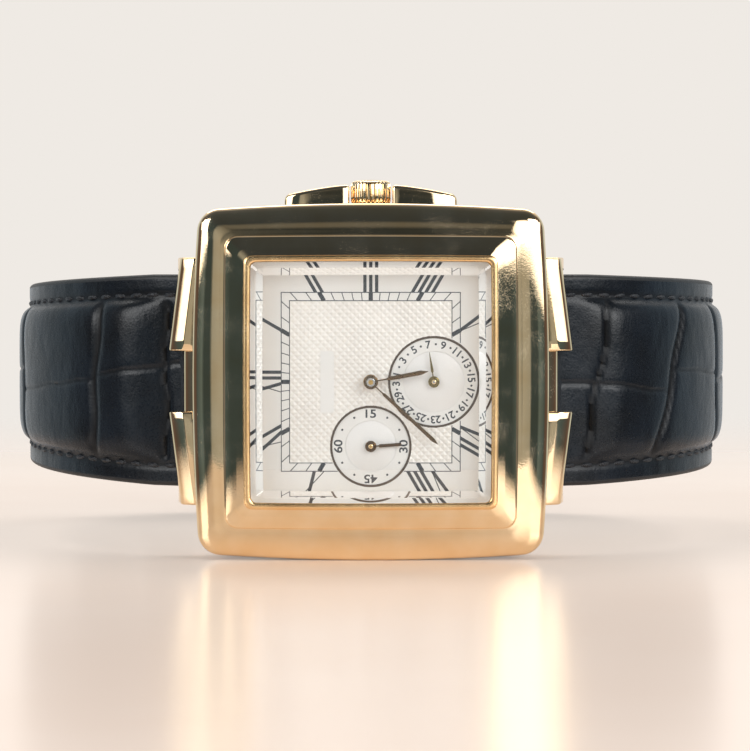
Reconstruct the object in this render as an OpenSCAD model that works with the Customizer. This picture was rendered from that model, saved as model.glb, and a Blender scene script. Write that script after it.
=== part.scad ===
// Automatic wrist watch with a stepped square case, a date hand and small seconds,
// on a padded leather strap that is closed with a tongue buckle.
// It stands on the 9 o'clock side of its case: 12 o'clock is at -X, 6 o'clock at +X,
// the crown points up (+Z), the dial faces -Y and the strap loop runs back towards +Y.
// Every piece is drawn lying on its back (x towards 6 o'clock, y towards the crown,
// z towards the viewer, z = 0 on the outer face of the case back) and is then stood up.

/* [Case] */
// Width of the case across its bowed sides
case_w = 35.4; // [32:0.1:40]
// Radius of the bowed sides
side_bow_r = 220; // [120:5:400]
// Corner radius of the case
case_corner_r = 2.4; // [1.5:0.1:4]
// How far the case side sits inside the bezel
case_inset = 0.2; // [0.05:0.05:0.5]
// Height of the joint between case and bezel above the case back face
case_top_z = 7.6; // [7.4:0.1:8.2]
// Thickness of the case back plate
back_t = 1.1; // [0.8:0.1:1.5]
// Width of the case back plate
back_w = 29.8; // [28.6:0.1:31]
// Diameter of the round room for the movement
room_d = 28.2; // [27.6:0.1:28.6]
// Distance of the case back screws from the centre, along both sides
back_screw_at = 12.3; // [11.8:0.1:12.8]
// Diameter of the case back screw heads
back_screw_head_d = 1.8; // [1.4:0.1:2.2]

/* [Bezel] */
// Width of the raised inner frame
frame_w = 29.0; // [27.5:0.1:30]
// Width of the thin rim round the crystal
rim_w = 25.1; // [24.9:0.05:26.4]
// Height of the outer cushion where it meets the inner frame
cushion_z = 9.15; // [8.8:0.05:9.3]
// Height of the inner frame at its outer edge
frame_z = 9.5; // [9.4:0.05:9.7]
// Height of the thin rim
rim_z = 10.1; // [10.05:0.05:10.3]

/* [Crystal] */
// Width of the crystal
crystal_w = 24.1; // [23.6:0.05:24.4]
// Thickness of the crystal
crystal_t = 2.1; // [1.8:0.1:2.4]
// Width of the bevel round the crystal
bevel_w = 1.25; // [0.6:0.05:1.6]
// Height of the bevel
bevel_h = 0.85; // [0.3:0.05:1.1]
// Thickness of the seal round the crystal
crystal_seal_t = 0.4; // [0.25:0.05:0.5]

/* [Dial] */
// Width of the dial plate
dial_w = 24.8; // [24.4:0.1:25]
// Thickness of the dial plate
dial_t = 0.4; // [0.3:0.05:0.5]
// Distance of the date dial from the centre, towards 6 o'clock
date_at = 6.26; // [6:0.02:6.6]
// Distance of the seconds dial from the centre, towards 9 o'clock
seconds_at = 6.4; // [6.2:0.02:6.6]
// Radius of the recessed date dial
date_dial_r = 4.45; // [4:0.05:4.6]
// Radius of the recessed seconds dial
seconds_dial_r = 3.94; // [3.6:0.02:4.1]
// Inner width of the ring between dial and crystal
ring_inner_w = 23.9; // [23.4:0.1:24.1]

/* [Hands] */
// Length of the hour hand from its axis
hour_len = 5.8; // [5:0.1:6.4]
// Width of the hour hand
hour_hand_w = 0.44; // [0.3:0.02:0.6]
// Length of the minute hand from its axis
minute_len = 9.06; // [8:0.02:9.6]
// Width of the minute hand
minute_hand_w = 0.38; // [0.25:0.01:0.5]
// Length of the date hand from its axis
date_len = 3.0; // [2.4:0.05:3.4]
// Length of the seconds hand from its axis
seconds_len = 3.3; // [2.8:0.05:3.6]
// Diameter of the hour and minute hand hubs
hub_d = 1.4; // [1.3:0.02:1.6]
// Angle of the hour hand, clockwise from 12 o'clock
hour_angle = 169.4; // [0:0.1:360]
// Angle of the minute hand, clockwise from 12 o'clock
minute_angle = 222.8; // [0:0.1:360]
// Angle of the date hand, clockwise from 31
date_angle = 81.3; // [0:0.1:360]
// Angle of the seconds hand, clockwise from 60
seconds_angle = 176; // [0:0.1:360]

/* [Crown] */
// Diameter of the crown
crown_d = 4.0; // [3.6:0.1:4.4]
// Length of the crown
crown_len = 2.35; // [2:0.05:2.6]
// Gap between the crown and the case side when it is pushed in
crown_gap = 0.25; // [0.15:0.05:0.4]
// Height of the crown axis above the case back face
crown_z = 4.2; // [4.1:0.05:4.3]
// Number of flutes round the crown
crown_flutes = 28; // [20:1:36]
// Diameter of the winding stem
stem_d = 1.0; // [0.8:0.05:1.1]

/* [Lugs] */
// Thickness of each lug cheek beside the strap end
cheek_t = 1.4; // [1:0.05:1.6]
// Reach of the lug hoods from the centre, beside the notch
hood_reach = 20.2; // [19.8:0.1:20.8]
// Reach of the lug hoods at their outer ends
hood_end_reach = 19.0; // [18.7:0.1:19.4]
// Reach of the hood inside the notch
notch_reach = 18.7; // [18.4:0.1:19]
// Width of the notch in the hood
notch_w = 6.0; // [4:0.2:9]
// Distance of the spring bars from the centre
bar_at = 17.9; // [17.8:0.05:18.1]
// Height of the spring bars above the case back face
bar_z = 3.0; // [2.8:0.1:3.2]
// Diameter of the spring bars
bar_d = 1.5; // [1.3:0.1:1.8]

/* [Strap] */
// Width of the strap at the lugs
strap_w = 21.5; // [20:0.5:22]
// How much narrower the strap is at the buckle than at the lugs
strap_taper = 4; // [3:0.5:6]
// Thickness of the strap at its edges
strap_edge_t = 2.4; // [2:0.1:2.6]
// Extra height of the padding along the middle
padding_h = 1.0; // [0.6:0.1:2]
// Thickness of the tail that passes through the buckle
tail_t = 2.0; // [1.6:0.1:2.2]
// Half width of the closed loop, to the middle of the strap
loop_half_w = 35.8; // [34:0.2:38]
// Depth at which the loop is widest, behind the case back face
loop_wide_z = 22; // [20:0.5:26]
// Depth of the back of the loop, to the middle of the strap
loop_back_z = 50.5; // [48:0.5:54]
// Radius of the loop's back corners
loop_corner_r = 22; // [20:0.5:24]
// Angle that the tail reaches round the back corner
tail_angle = 62; // [56:1:70]

/* [Buckle] */
// Distance of the buckle bar from the middle plane of the watch
buckle_bar_at = 12.0; // [11:0.5:13.5]
// Distance from the buckle bar to the front bar of the frame
buckle_reach = 7.8; // [7:0.1:9]
// Diameter of the buckle bar
buckle_bar_d = 1.2; // [1:0.1:1.3]
// Diameter of the frame's front bar
buckle_front_d = 1.6; // [1.4:0.1:2]
// Width of the tongue
tongue_w = 1.4; // [1.2:0.1:1.8]
// Width of each keeper along the strap
keeper_w = 5.0; // [4:0.2:6]
// Angle of the fixed keeper round the back corner
fixed_keeper_angle = 25; // [23:1:27]
// Angle of the loose keeper round the back corner
loose_keeper_angle = 46; // [44:1:48]

/* [Movement] */
// Diameter of the movement
movement_d = 25.6; // [25.4:0.1:25.8]
// Number of teeth on the barrel
barrel_teeth = 80; // [76:1:84]
// Number of teeth on the centre pinion
centre_pinion_teeth = 10; // [8:1:12]
// Distance from the barrel to the centre wheel
barrel_dist = 6.2; // [6.1:0.05:6.3]
// Number of teeth on the centre wheel
centre_teeth = 64; // [60:1:68]
// Number of teeth on the third pinion
third_pinion_teeth = 8; // [7:1:10]
// Distance from the centre wheel to the third wheel
third_dist = 4.5; // [4.4:0.02:4.6]
// Number of teeth on the third wheel
third_teeth = 60; // [56:1:64]
// Number of teeth on the fourth pinion
fourth_pinion_teeth = 8; // [7:1:10]
// Distance from the third wheel to the fourth wheel
fourth_dist = 4.08; // [4.04:0.02:4.12]
// Number of teeth on the fourth wheel
fourth_teeth = 70; // [66:1:74]
// Number of teeth on the escape pinion
escape_pinion_teeth = 7; // [6:1:8]
// Distance from the fourth wheel to the escape wheel
escape_dist = 3.46; // [3.42:0.02:3.5]
// Radius of the escape wheel
escape_r = 2.3; // [2.1:0.05:2.35]
// Radius of the balance wheel
balance_r = 3.6; // [3.2:0.05:3.65]
// Distance from the centre to the minute wheel
minute_wheel_dist = 2.88; // [2.8:0.02:2.94]
// Number of teeth on the cannon pinion
cannon_teeth = 12; // [10:1:14]
// Number of teeth on the minute wheel
minute_teeth = 36; // [34:1:40]
// Number of teeth on the minute pinion
minute_pinion_teeth = 10; // [9:1:12]
// Number of teeth on the hour wheel
hour_teeth = 40; // [36:1:44]
// Number of teeth on the crown wheel
crown_wheel_teeth = 38; // [36:1:40]
// Number of teeth on the ratchet wheel
ratchet_teeth = 45; // [43:1:47]
// Number of turns of the hairspring
hairspring_turns = 6; // [4:1:8]

/* [Clearances] */
// Play between a part and the pocket that it sits in
seat_gap = 0.05; // [0.02:0.01:0.1]
// Running play round a turning arbor
run_gap = 0.03; // [0.02:0.01:0.05]
// Gap between leather pieces that lie on each other
leather_gap = 0.2; // [0.1:0.05:0.3]

/* [Hidden] */
$fn = 64;

gold = [0.86, 0.66, 0.40];
steel = [0.70, 0.71, 0.73];
brass_tone = [0.80, 0.66, 0.36];
leather_tone = [0.11, 0.12, 0.14];
rubber_tone = [0.08, 0.08, 0.08];
eps = 0.01;

// Bowed square outlines
side_steps = 11;
corner_steps = 4;
flat_bow_r = 900;
frame_corner_r = 1.3;
rim_corner_r = 0.8;
crystal_corner_r = 0.6;

// Heights above the case back face
case_bottom_z = 0.9;
case_foot_z = 2.3;
case_side_z = 3.5;
bottom_inset = 1.5;
foot_inset = 0.55;
back_spigot_z1 = 1.6;
movement_ring_z0 = back_spigot_z1 + seat_gap;
movement_ring_z1 = 6.0;
dial_z0 = 6.5;
dial_z1 = dial_z0 + dial_t;
crystal_z1 = rim_z + seat_gap / 2 + bevel_h;
crystal_z0 = crystal_z1 - crystal_t;
crystal_seal_z1 = rim_z - 0.25;

// Movement levels
rotor_z0 = 1.75;
rotor_web_t = 0.25;
rotor_rim_z1 = 2.6;
winding_z0 = 2.5;
winding_t = 0.28;
bridge_z0 = 2.85;
bridge_z1 = 3.35;
centre_wheel_z = 3.46;
hairspring_z = 3.5;
balance_z = 3.78;
fourth_wheel_z = 3.85;
third_wheel_z = 4.15;
escape_z = 4.45;
barrel_z0 = 3.75;
barrel_z1 = 4.95;
plate_z0 = 5.05;
plate_z1 = 6.0;
wheel_t = 0.15;
arbor_r = 0.2;
// Play along an arbor between a wheel and the plate beside it
end_play = 0.02;
plate_gap = 0.05;
pivot_z0 = bridge_z0 + end_play;
pivot_z1 = plate_z1 - 0.18;
centre_pinion_z = 4.5;
centre_pin_z0 = 4;
cannon_pinion_z = plate_z1 + end_play;
cannon_pinion_t = 0.18;
minute_wheel_z = plate_z1 + 2 * end_play;
minute_pinion_t = 0.38;
motion_wheel_t = 0.12;
hour_wheel_z = minute_wheel_z + motion_wheel_t + 0.08;
date_wheel_z = plate_z1 + 3 * end_play;
date_wheel_t = 0.16;
// Margin by which a cutter runs past the faces that it opens
past = 1;

// Positions of the wheels, solved from their distances
function circle_cross(d1, d2, span) = let (
    u = (span * span + d1 * d1 - d2 * d2) / (2 * span)
) [u, sqrt(d1 * d1 - u * u)];
third_cross = circle_cross(third_dist, fourth_dist, seconds_at);
third_pos = [-third_cross[1], -third_cross[0]];
fourth_pos = [0, -seconds_at];
escape_dir = 197.5;
escape_pos = fourth_pos + escape_dist * [cos(escape_dir), sin(escape_dir)];
lever_dir = 126.4;
pallet_dist = 2.75;
balance_dist = 6.0;
pallet_pos = escape_pos + pallet_dist * [cos(lever_dir), sin(lever_dir)];
balance_pos = escape_pos + balance_dist * [cos(lever_dir), sin(lever_dir)];
barrel_dir = 28;
barrel_pos = barrel_dist * [cos(barrel_dir), sin(barrel_dir)];
crown_wheel_pos = [0, 6.6];
minute_wheel_dir = 135;
minute_wheel_pos = minute_wheel_dist * [cos(minute_wheel_dir), sin(minute_wheel_dir)];
date_pos = [date_at, 0];
winding_span = norm(barrel_pos - crown_wheel_pos);
winding_module = 2 * winding_span / (crown_wheel_teeth + ratchet_teeth);
winding_pinion_teeth = 17;
winding_pinion_y = 9.2;
winding_pinion_len = 1.0;
// Its teeth are a little finer than the crown wheel's, for the angle between the two
winding_pinion_fit = 0.95;
clutch_y = 7.5;
clutch_len = 1.2;
winding_room_w = 3.2;
winding_room_y0 = clutch_y - 0.15;
winding_room_y1 = winding_pinion_y + winding_pinion_len + 0.3;

// Crown
case_side_y = case_w / 2 - case_inset;
crown_y0 = case_side_y + crown_gap;
tube_d = 2.3;
tube_y0 = 14.6;
tube_y1 = case_side_y + 1.3;
crown_bore_d = tube_d + 2 * seat_gap;
stem_y0 = 6.0;

// Loop of the strap: lug arc, straight, back corner, straight
buckle_w = strap_w - strap_taper;
lug_w = strap_w + 2 * (leather_gap + cheek_t);
lug_arc_dx = loop_half_w - bar_at;
lug_arc_dz = loop_wide_z + bar_z;
lug_arc_angle = 2 * atan2(lug_arc_dx, lug_arc_dz);
lug_arc_r = lug_arc_dz / sin(lug_arc_angle);
tail_offset = strap_edge_t / 2 + leather_gap + tail_t / 2;
corner_z = loop_back_z - loop_corner_r;
short_corner_x = loop_half_w - loop_corner_r;
tail_corner_r = loop_corner_r + tail_offset;
long_corner_x = loop_half_w - tail_corner_r;
tail_w = buckle_w - 2 * leather_gap;
tail_z = -(loop_back_z + tail_offset);
strap_end_r = 1.5;
front_bar_x = -buckle_bar_at + buckle_reach;
front_bar_z = tail_z - tail_t / 2 - buckle_front_d / 2 - seat_gap;
frame_arm_w = 1.2;
frame_arm_y = buckle_w / 2 + 0.35;
slot_y = tongue_w / 2 + 0.3;

// Ways to place and build pieces
module stand() rotate([90, 0, 0]) children();
module along_y(y0) translate([0, y0, 0]) rotate([-90, 0, 0]) children();
module at(p, z) translate([p[0], p[1], z]) children();

// Points of a square with bowed sides and round corners, counter-clockwise
function bow_a(h, rb, rc) = ((h - rb) + sqrt(2 * pow(rb - rc, 2) - pow(h - rb, 2))) / 2;
function turned(p, a) = [p[0] * cos(a) - p[1] * sin(a), p[0] * sin(a) + p[1] * cos(a)];
function bowed(h, rb, rc) = let (
    a = bow_a(h, rb, rc),
    phi = atan2(a, a - (h - rb)),
    quarter = concat(
        [for (i = [0 : side_steps - 1]) let (t = phi * (2 * i / side_steps - 1))
            [h - rb + rb * cos(t), rb * sin(t)]],
        [for (j = [0 : corner_steps - 1]) let (t = phi + (90 - 2 * phi) * j / corner_steps)
            [a + rc * cos(t), a + rc * sin(t)]]
    )
) [for (q = [0 : 3]) for (p = quarter) turned(p, 90 * q)];

// Solid through a stack of bowed squares, each [z, half width, bow radius, corner radius]
module bowed_stack(levels) {
    rings = [for (l = levels) [for (p = bowed(l[1], l[2], l[3])) [p[0], p[1], l[0]]]];
    skin(rings);
}

// Closed solid through rings with the same number of points, counter-clockwise from the far end
module skin(rings) {
    n = len(rings[0]);
    last = len(rings) - 1;
    points = [for (r = rings) for (p = r) p];
    sides = [for (k = [0 : last - 1]) for (i = [0 : n - 1]) each [
        [k * n + i, (k + 1) * n + i, (k + 1) * n + (i + 1) % n],
        [k * n + i, (k + 1) * n + (i + 1) % n, k * n + (i + 1) % n]
    ]];
    polyhedron(
        points = points,
        faces = concat([[for (i = [0 : n - 1]) i]], sides,
            [[for (i = [n - 1 : -1 : 0]) last * n + i]]),
        convexity = 6
    );
}

module bowed_plate(h, rb, rc, t) linear_extrude(t) polygon(bowed(h, rb, rc));

// Toothed outlines: wheels have slender pointed teeth, pinions have leaves with wide gaps
function tooth_radii(n, m, tip, root) = [n * m / 2 - root * m, n * m / 2, n * m / 2 + tip * m];
function toothed(n, radii, fractions, phase) = [
    for (i = [0 : n - 1]) for (k = [0 : 5]) let (
        level = k < 3 ? k : 5 - k,
        side = k < 3 ? -1 : 1,
        a = phase + 360 / n * (i + side * fractions[level] / 2)
    ) radii[level] * [cos(a), sin(a)]
];
wheel_fractions = [0.50, 0.42, 0.12];
pinion_fractions = [0.26, 0.30, 0.16];
module wheel2d(n, m, phase = 0)
    polygon(toothed(n, tooth_radii(n, m, 0.9, 1.3), wheel_fractions, phase));
module pinion2d(n, m, phase = 0)
    polygon(toothed(n, tooth_radii(n, m, 0.6, 1.5), pinion_fractions, phase));

// Round-spoked wheel body with teeth
module spoked_wheel(n, m, t, hub_r, phase = 0) {
    rim_in = (n / 2 - 5) * m;
    spoke_w = 3 * m;
    difference() {
        linear_extrude(t) wheel2d(n, m, phase);
        translate([0, 0, -eps]) cylinder(r = rim_in, h = t + 2 * eps);
    }
    cylinder(r = hub_r, h = t);
    for (k = [0 : wheel_spokes - 1]) rotate(360 / wheel_spokes * k)
        translate([hub_r / 2, -spoke_w / 2, 0]) cube([rim_in - hub_r / 2 + m, spoke_w, t]);
}

// Case middle, lugs and crown guards
// Side view of the lug: x from the centre, z up, with a rounded hood edge
hood_top_z = 6.9;
hood_lip_z = 4.75;
hood_round = 1.3;
hood_edge_drop = 0.45;
hood_arc_steps = 6;
cheek_r = 2.1;
cheek_shift = 0.6;
lug_start = 14.9;
notch_slant = 0.4;
function hood_side(reach) = concat(
    [[lug_start, case_foot_z], [lug_start, hood_top_z]],
    [for (k = [0 : hood_arc_steps]) let (t = 90 - 90 / hood_arc_steps * k)
        [reach - hood_round + hood_round * cos(t),
         hood_top_z - hood_edge_drop - hood_round + hood_round * sin(t)]],
    [[reach, case_foot_z]]
);
function hood_plan() = let (w = lug_w / 2, n = notch_w / 2) [
    [lug_start, -w], [hood_end_reach, -w], [hood_reach, -n], [notch_reach, -n + notch_slant],
    [notch_reach, n - notch_slant], [hood_reach, n], [hood_end_reach, w], [lug_start, w]
];
bar_room_r = 1.75;
bar_room_end = 1;
module lug() {
    difference() {
        intersection() {
            translate([0, 0, case_bottom_z]) linear_extrude(hood_top_z) polygon(hood_plan());
            union() {
                translate([0, lug_w / 2, 0]) rotate([90, 0, 0]) linear_extrude(lug_w)
                    polygon(hood_side(hood_reach));
                translate([bar_at - cheek_shift, lug_w / 2, bar_z]) rotate([90, 0, 0])
                    cylinder(r = cheek_r, h = lug_w);
            }
        }
        // Room for the strap end between the cheeks, below the hood
        translate([bar_at - bar_room_r, -lug_w / 2 + cheek_t, -eps])
            cube([hood_reach, lug_w - 2 * cheek_t, hood_lip_z + eps]);
    }
}

guard_in = 2.45;
guard_out = 8.6;
guard_z0 = 1.9;
guard_z1 = 6.5;
guard_round = 1.1;
guard_rise_out = 1.0;
guard_rise_in = 1.9;
guard_root = 3;
guard_foot = 0.4;
guard_flare = 0.1;
guard_end_chamfer = 0.5;
guard_in_chamfer = 0.3;
guard_steps = 6;
// Rounded nose of the guards, as [away from the case, up] points of one quarter turn
function guard_quarter(top, z, from) = [for (k = [0 : guard_steps]) let (t = from + 90 / guard_steps * k)
    [top - guard_round + guard_round * cos(t), z + guard_round * sin(t)]];
module crown_guard() {
    y0 = case_w / 2 - guard_root;
    y1 = case_w / 2;
    top = y1 + guard_rise_in + seat_gap;
    intersection() {
        linear_extrude(guard_z1) polygon([
            [guard_in, y0], [guard_in, y1 + guard_rise_in - guard_in_chamfer],
            [guard_in + guard_in_chamfer, y1 + guard_rise_in],
            [guard_out - guard_end_chamfer, y1 + guard_rise_out],
            [guard_out, y1 + guard_rise_out - guard_end_chamfer],
            [guard_out + guard_flare, y1 - guard_foot], [guard_out + guard_flare, y0]
        ]);
        rotate([90, 0, 90]) linear_extrude(guard_out + guard_root) polygon(concat(
            [[y0, guard_z0]],
            guard_quarter(top, guard_z0 + guard_round, -90),
            guard_quarter(top, guard_z1 - guard_round, 0),
            [[y0, guard_z1]]
        ));
    }
}

movement_ledge_d = 26.2;
dial_pocket_h = dial_w / 2 + seat_gap;
screw_d = 1.0;
screw_end_room = 0.2;
spring_tip_d = 0.8;
spring_hole_span = strap_w + 1.8;
spring_tip_len = 0.6;
back_screw_z1 = 4.0;
module back_screw_places()
    for (sx = [-1, 1]) for (sy = [-1, 1]) translate([sx * back_screw_at, sy * back_screw_at, 0]) children();

module case_middle() color(gold) stand() difference() {
    union() {
        bowed_stack([
            [case_bottom_z, case_w / 2 - bottom_inset, side_bow_r, case_corner_r],
            [case_foot_z, case_w / 2 - foot_inset, side_bow_r, case_corner_r],
            [case_side_z, case_w / 2 - case_inset, side_bow_r, case_corner_r],
            [case_top_z, case_w / 2 - case_inset, side_bow_r, case_corner_r]
        ]);
        lug();
        mirror([1, 0, 0]) lug();
        crown_guard();
        mirror([1, 0, 0]) crown_guard();
    }
    // Round room for the movement, with a ledge under the dial
    translate([0, 0, -eps]) cylinder(d = room_d, h = movement_ring_z1 + eps);
    cylinder(d = movement_ledge_d, h = case_top_z);
    // Seat of the case back plate
    translate([0, 0, -eps]) bowed_plate(back_w / 2 + seat_gap, flat_bow_r, case_corner_r, back_t + 2 * eps);
    // Square pocket for the dial
    translate([0, 0, dial_z0]) bowed_plate(dial_pocket_h, flat_bow_r, rim_corner_r, case_top_z);
    // Room for the strap ends next to the case wall
    for (s = [0, 1]) mirror([s, 0, 0]) translate([bar_at, lug_w / 2 - bar_room_end, bar_z])
        rotate([90, 0, 0]) cylinder(r = bar_room_r, h = lug_w - 2 * bar_room_end);
    // Blind holes for the spring bar ends
    for (s = [0, 1]) mirror([s, 0, 0]) translate([bar_at, 0, bar_z]) rotate([90, 0, 0])
        cylinder(d = spring_tip_d + 2 * seat_gap, h = spring_hole_span, center = true);
    // Hole for the crown tube
    translate([0, 0, crown_z]) along_y(room_d / 2 - past) cylinder(d = tube_d, h = case_w / 2);
    // Threads of the case back screws
    back_screw_places() cylinder(d = screw_d, h = back_screw_z1 + screw_end_room);
}

// Cushion of the bezel from its widest edge in to the inner frame
cushion_steps = 6;
bezel_foot_z = 8.05;
foot_chamfer = 0.1;
foot_chamfer_in = 0.08;
cushion_gap = 0.12;
level_step = 0.02;
frame_chamfer = 0.12;
rim_rise = 0.2;
rim_flare = 0.06;
rim_edge = 0.05;
module bezel() color(gold) stand() difference() {
    bowed_stack(concat(
        [[case_top_z, case_w / 2 - foot_chamfer_in, side_bow_r, case_corner_r],
         [case_top_z + foot_chamfer, case_w / 2, side_bow_r, case_corner_r],
         [bezel_foot_z, case_w / 2, side_bow_r, case_corner_r]],
        [for (k = [1 : cushion_steps]) let (
            t = 90 * k / cushion_steps,
            across = (case_w - frame_w) / 2 - cushion_gap,
            u = k / cushion_steps
        ) [bezel_foot_z + (cushion_z - bezel_foot_z) * sin(t), case_w / 2 - across * (1 - cos(t)),
           side_bow_r + (flat_bow_r - side_bow_r) * u * u * u,
           case_corner_r + (frame_corner_r - case_corner_r) * u]],
        [[cushion_z + level_step, frame_w / 2, flat_bow_r, frame_corner_r],
         [frame_z - frame_chamfer, frame_w / 2, flat_bow_r, frame_corner_r],
         [frame_z, frame_w / 2 - frame_chamfer, flat_bow_r, frame_corner_r],
         [rim_z - rim_rise, rim_w / 2 + rim_flare, flat_bow_r, rim_corner_r + rim_edge],
         [rim_z - rim_rise + level_step, rim_w / 2, flat_bow_r, rim_corner_r],
         [rim_z - rim_edge, rim_w / 2, flat_bow_r, rim_corner_r],
         [rim_z, rim_w / 2 - rim_edge, flat_bow_r, rim_corner_r]]
    ));
    bowed_plate(crystal_w / 2 + seat_gap, flat_bow_r, crystal_corner_r, rim_z + past);
    bowed_plate(crystal_w / 2 + seat_gap + crystal_seal_t, flat_bow_r, rim_corner_r, crystal_seal_z1);
}

module crystal() color([0.85, 0.93, 0.97, 0.3]) stand() bowed_stack([
    [crystal_z0, crystal_w / 2, flat_bow_r, crystal_corner_r],
    [crystal_z1 - bevel_h, crystal_w / 2, flat_bow_r, crystal_corner_r],
    [crystal_z1, crystal_w / 2 - bevel_w, flat_bow_r, crystal_corner_r / 2]
]);

module crystal_seal() color([0.93, 0.93, 0.90]) stand() translate([0, 0, crystal_z0]) difference() {
    bowed_plate(crystal_w / 2 + crystal_seal_t, flat_bow_r, rim_corner_r, crystal_seal_z1 - crystal_z0);
    translate([0, 0, -eps])
        bowed_plate(crystal_w / 2, flat_bow_r, crystal_corner_r, crystal_seal_z1 - crystal_z0 + 2 * eps);
}

module inner_ring() color(gold) stand() translate([0, 0, dial_z1]) difference() {
    bowed_plate(dial_w / 2 - seat_gap, flat_bow_r, rim_corner_r, crystal_z0 - dial_z1);
    translate([0, 0, -eps])
        bowed_plate(ring_inner_w / 2, flat_bow_r, crystal_corner_r, crystal_z0 - dial_z1 + 2 * eps);
}

// Dial plate with its two recessed small dials
dial_step = 0.06;
dial_deep = 0.16;
date_disc_r = 3.05;
seconds_disc_r = 2.55;
dial_centre_hole_d = 1.8;
dial_hole_gap = 0.1;
small_arbor_r = 0.14;
sub_hub_r = 0.5;
module dial() color([0.90, 0.89, 0.86]) stand() translate([0, 0, dial_z0]) difference() {
    bowed_plate(dial_w / 2, flat_bow_r, rim_corner_r, dial_t);
    at(date_pos, dial_t - dial_step) cylinder(r = date_dial_r, h = past);
    at(date_pos, dial_t - dial_deep) cylinder(r = date_disc_r, h = past);
    at(fourth_pos, dial_t - dial_step) cylinder(r = seconds_dial_r, h = past);
    at(fourth_pos, dial_t - dial_deep) cylinder(r = seconds_disc_r, h = past);
    translate([0, 0, -eps]) cylinder(d = dial_centre_hole_d, h = past);
    at(date_pos, -eps) cylinder(r = small_arbor_r + dial_hole_gap, h = past);
    at(fourth_pos, -eps) cylinder(r = small_arbor_r + dial_hole_gap, h = past);
}

// Hands
hour_hand_z = 7.45;
minute_hand_z = 7.86;
sub_hand_z = 7.1;
hand_t = 0.12;
hub_t = 0.3;
hour_tube_r = 0.62;
cannon_r = 0.36;
centre_pin_r = 0.24;
hub_wall = 0.04;
hub_chamfer = 0.1;
neck_at = 1.75;
neck_slope = 0.15;
leaf_root = 0.84;
hour_neck_w = 0.22;
minute_neck_w = 0.16;
hour_point_len = 0.75;
minute_point_len = 0.6;
hour_hub_h = 0.22;
hub_drop = 0.05;
seconds_hand_w = 0.2;
date_hand_w = 0.28;
date_tip_w = 0.06;
sub_hub_drop = 0.12;
sub_hub_h = 0.2;
// Blade along +x: a thin neck from the hub that widens to the leaf and ends in a point
function blade(root, neck_w, leaf_w, point_len, length) = let (n = neck_w / 2, w = leaf_w / 2) [
    [root, -n], [neck_at - neck_slope, -n], [neck_at, -leaf_root * w], [length - point_len, -w],
    [length, 0], [length - point_len, w], [neck_at, leaf_root * w], [neck_at - neck_slope, n], [root, n]
];
module hub(r_out, r_in, z0, z1) difference() {
    translate([0, 0, z0]) rotate_extrude() polygon([
        [0, 0], [r_out, 0], [r_out, z1 - z0 - hub_chamfer], [r_out - hub_chamfer, z1 - z0], [0, z1 - z0]
    ]);
    translate([0, 0, z0 - past]) cylinder(r = r_in, h = z1 - z0 + 2 * past);
}
// Turns a piece drawn along +x to a clock angle, clockwise from 12 o'clock
module to_hour(a) rotate(180 - a) children();

module hour_hand() color(gold) stand() {
    to_hour(hour_angle) translate([0, 0, hour_hand_z]) linear_extrude(hand_t)
        polygon(blade(hub_d / 2 - hub_wall, hour_neck_w, hour_hand_w, hour_point_len, hour_len));
    hub(hub_d / 2, hour_tube_r, hour_hand_z - hub_wall, hour_hand_z + hour_hub_h);
}
module minute_hand() color(gold) stand() {
    to_hour(minute_angle) translate([0, 0, minute_hand_z]) linear_extrude(hand_t)
        polygon(blade(hub_d / 2 - 3 * hub_wall, minute_neck_w, minute_hand_w, minute_point_len, minute_len));
    hub(hub_d / 2, cannon_r, minute_hand_z - hub_drop, minute_hand_z + hub_t);
}
module seconds_hand() color(gold) stand() at(fourth_pos, 0) {
    to_hour(seconds_angle) translate([sub_hub_r - hub_wall, -seconds_hand_w / 2, sub_hand_z])
        cube([seconds_len - sub_hub_r + hub_wall, seconds_hand_w, hand_t]);
    hub(sub_hub_r, small_arbor_r, sub_hand_z - sub_hub_drop, sub_hand_z + sub_hub_h);
}
module date_hand() color(gold) stand() at(date_pos, 0) {
    to_hour(date_angle) translate([0, 0, sub_hand_z]) linear_extrude(hand_t) polygon([
        [sub_hub_r - hub_wall, -date_hand_w / 2], [date_len, -date_tip_w / 2],
        [date_len, date_tip_w / 2], [sub_hub_r - hub_wall, date_hand_w / 2]
    ]);
    hub(sub_hub_r, small_arbor_r, sub_hand_z - sub_hub_drop, sub_hand_z + sub_hub_h);
}

// Case back and its screws
back_spigot_d = room_d - 0.4;
back_chamfer = 0.35;
back_chamfer_in = 0.5;
spigot_wall = 1.2;
seal_groove_z = 1.22;
seal_groove_h = 0.3;
seal_groove_deep = 0.5;
seal_z = 1.25;
seal_in = 0.42;
seal_w = 0.55;
seal_h = 0.24;
screw_sink = 0.6;
screw_head_z = 0.08;
screw_head_h = 0.5;
screw_slot_w = 0.3;
screw_slot_z = 0.28;
module case_back() color(gold) stand() difference() {
    union() {
        bowed_stack([
            [0, back_w / 2 - back_chamfer_in, flat_bow_r, case_corner_r],
            [back_chamfer, back_w / 2, flat_bow_r, case_corner_r],
            [back_t, back_w / 2, flat_bow_r, case_corner_r]
        ]);
        cylinder(d = back_spigot_d, h = back_spigot_z1);
    }
    translate([0, 0, back_t]) cylinder(d = back_spigot_d - 2 * spigot_wall, h = back_spigot_z1);
    translate([0, 0, seal_groove_z]) rotate_extrude() translate([back_spigot_d / 2 - seal_groove_deep, 0])
        square([back_spigot_d / 2, seal_groove_h]);
    back_screw_places() translate([0, 0, -eps]) cylinder(d = screw_d + 2 * seat_gap, h = back_screw_z1);
    back_screw_places() translate([0, 0, -eps])
        cylinder(d = back_screw_head_d + 2 * seat_gap, h = screw_sink);
}
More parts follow.
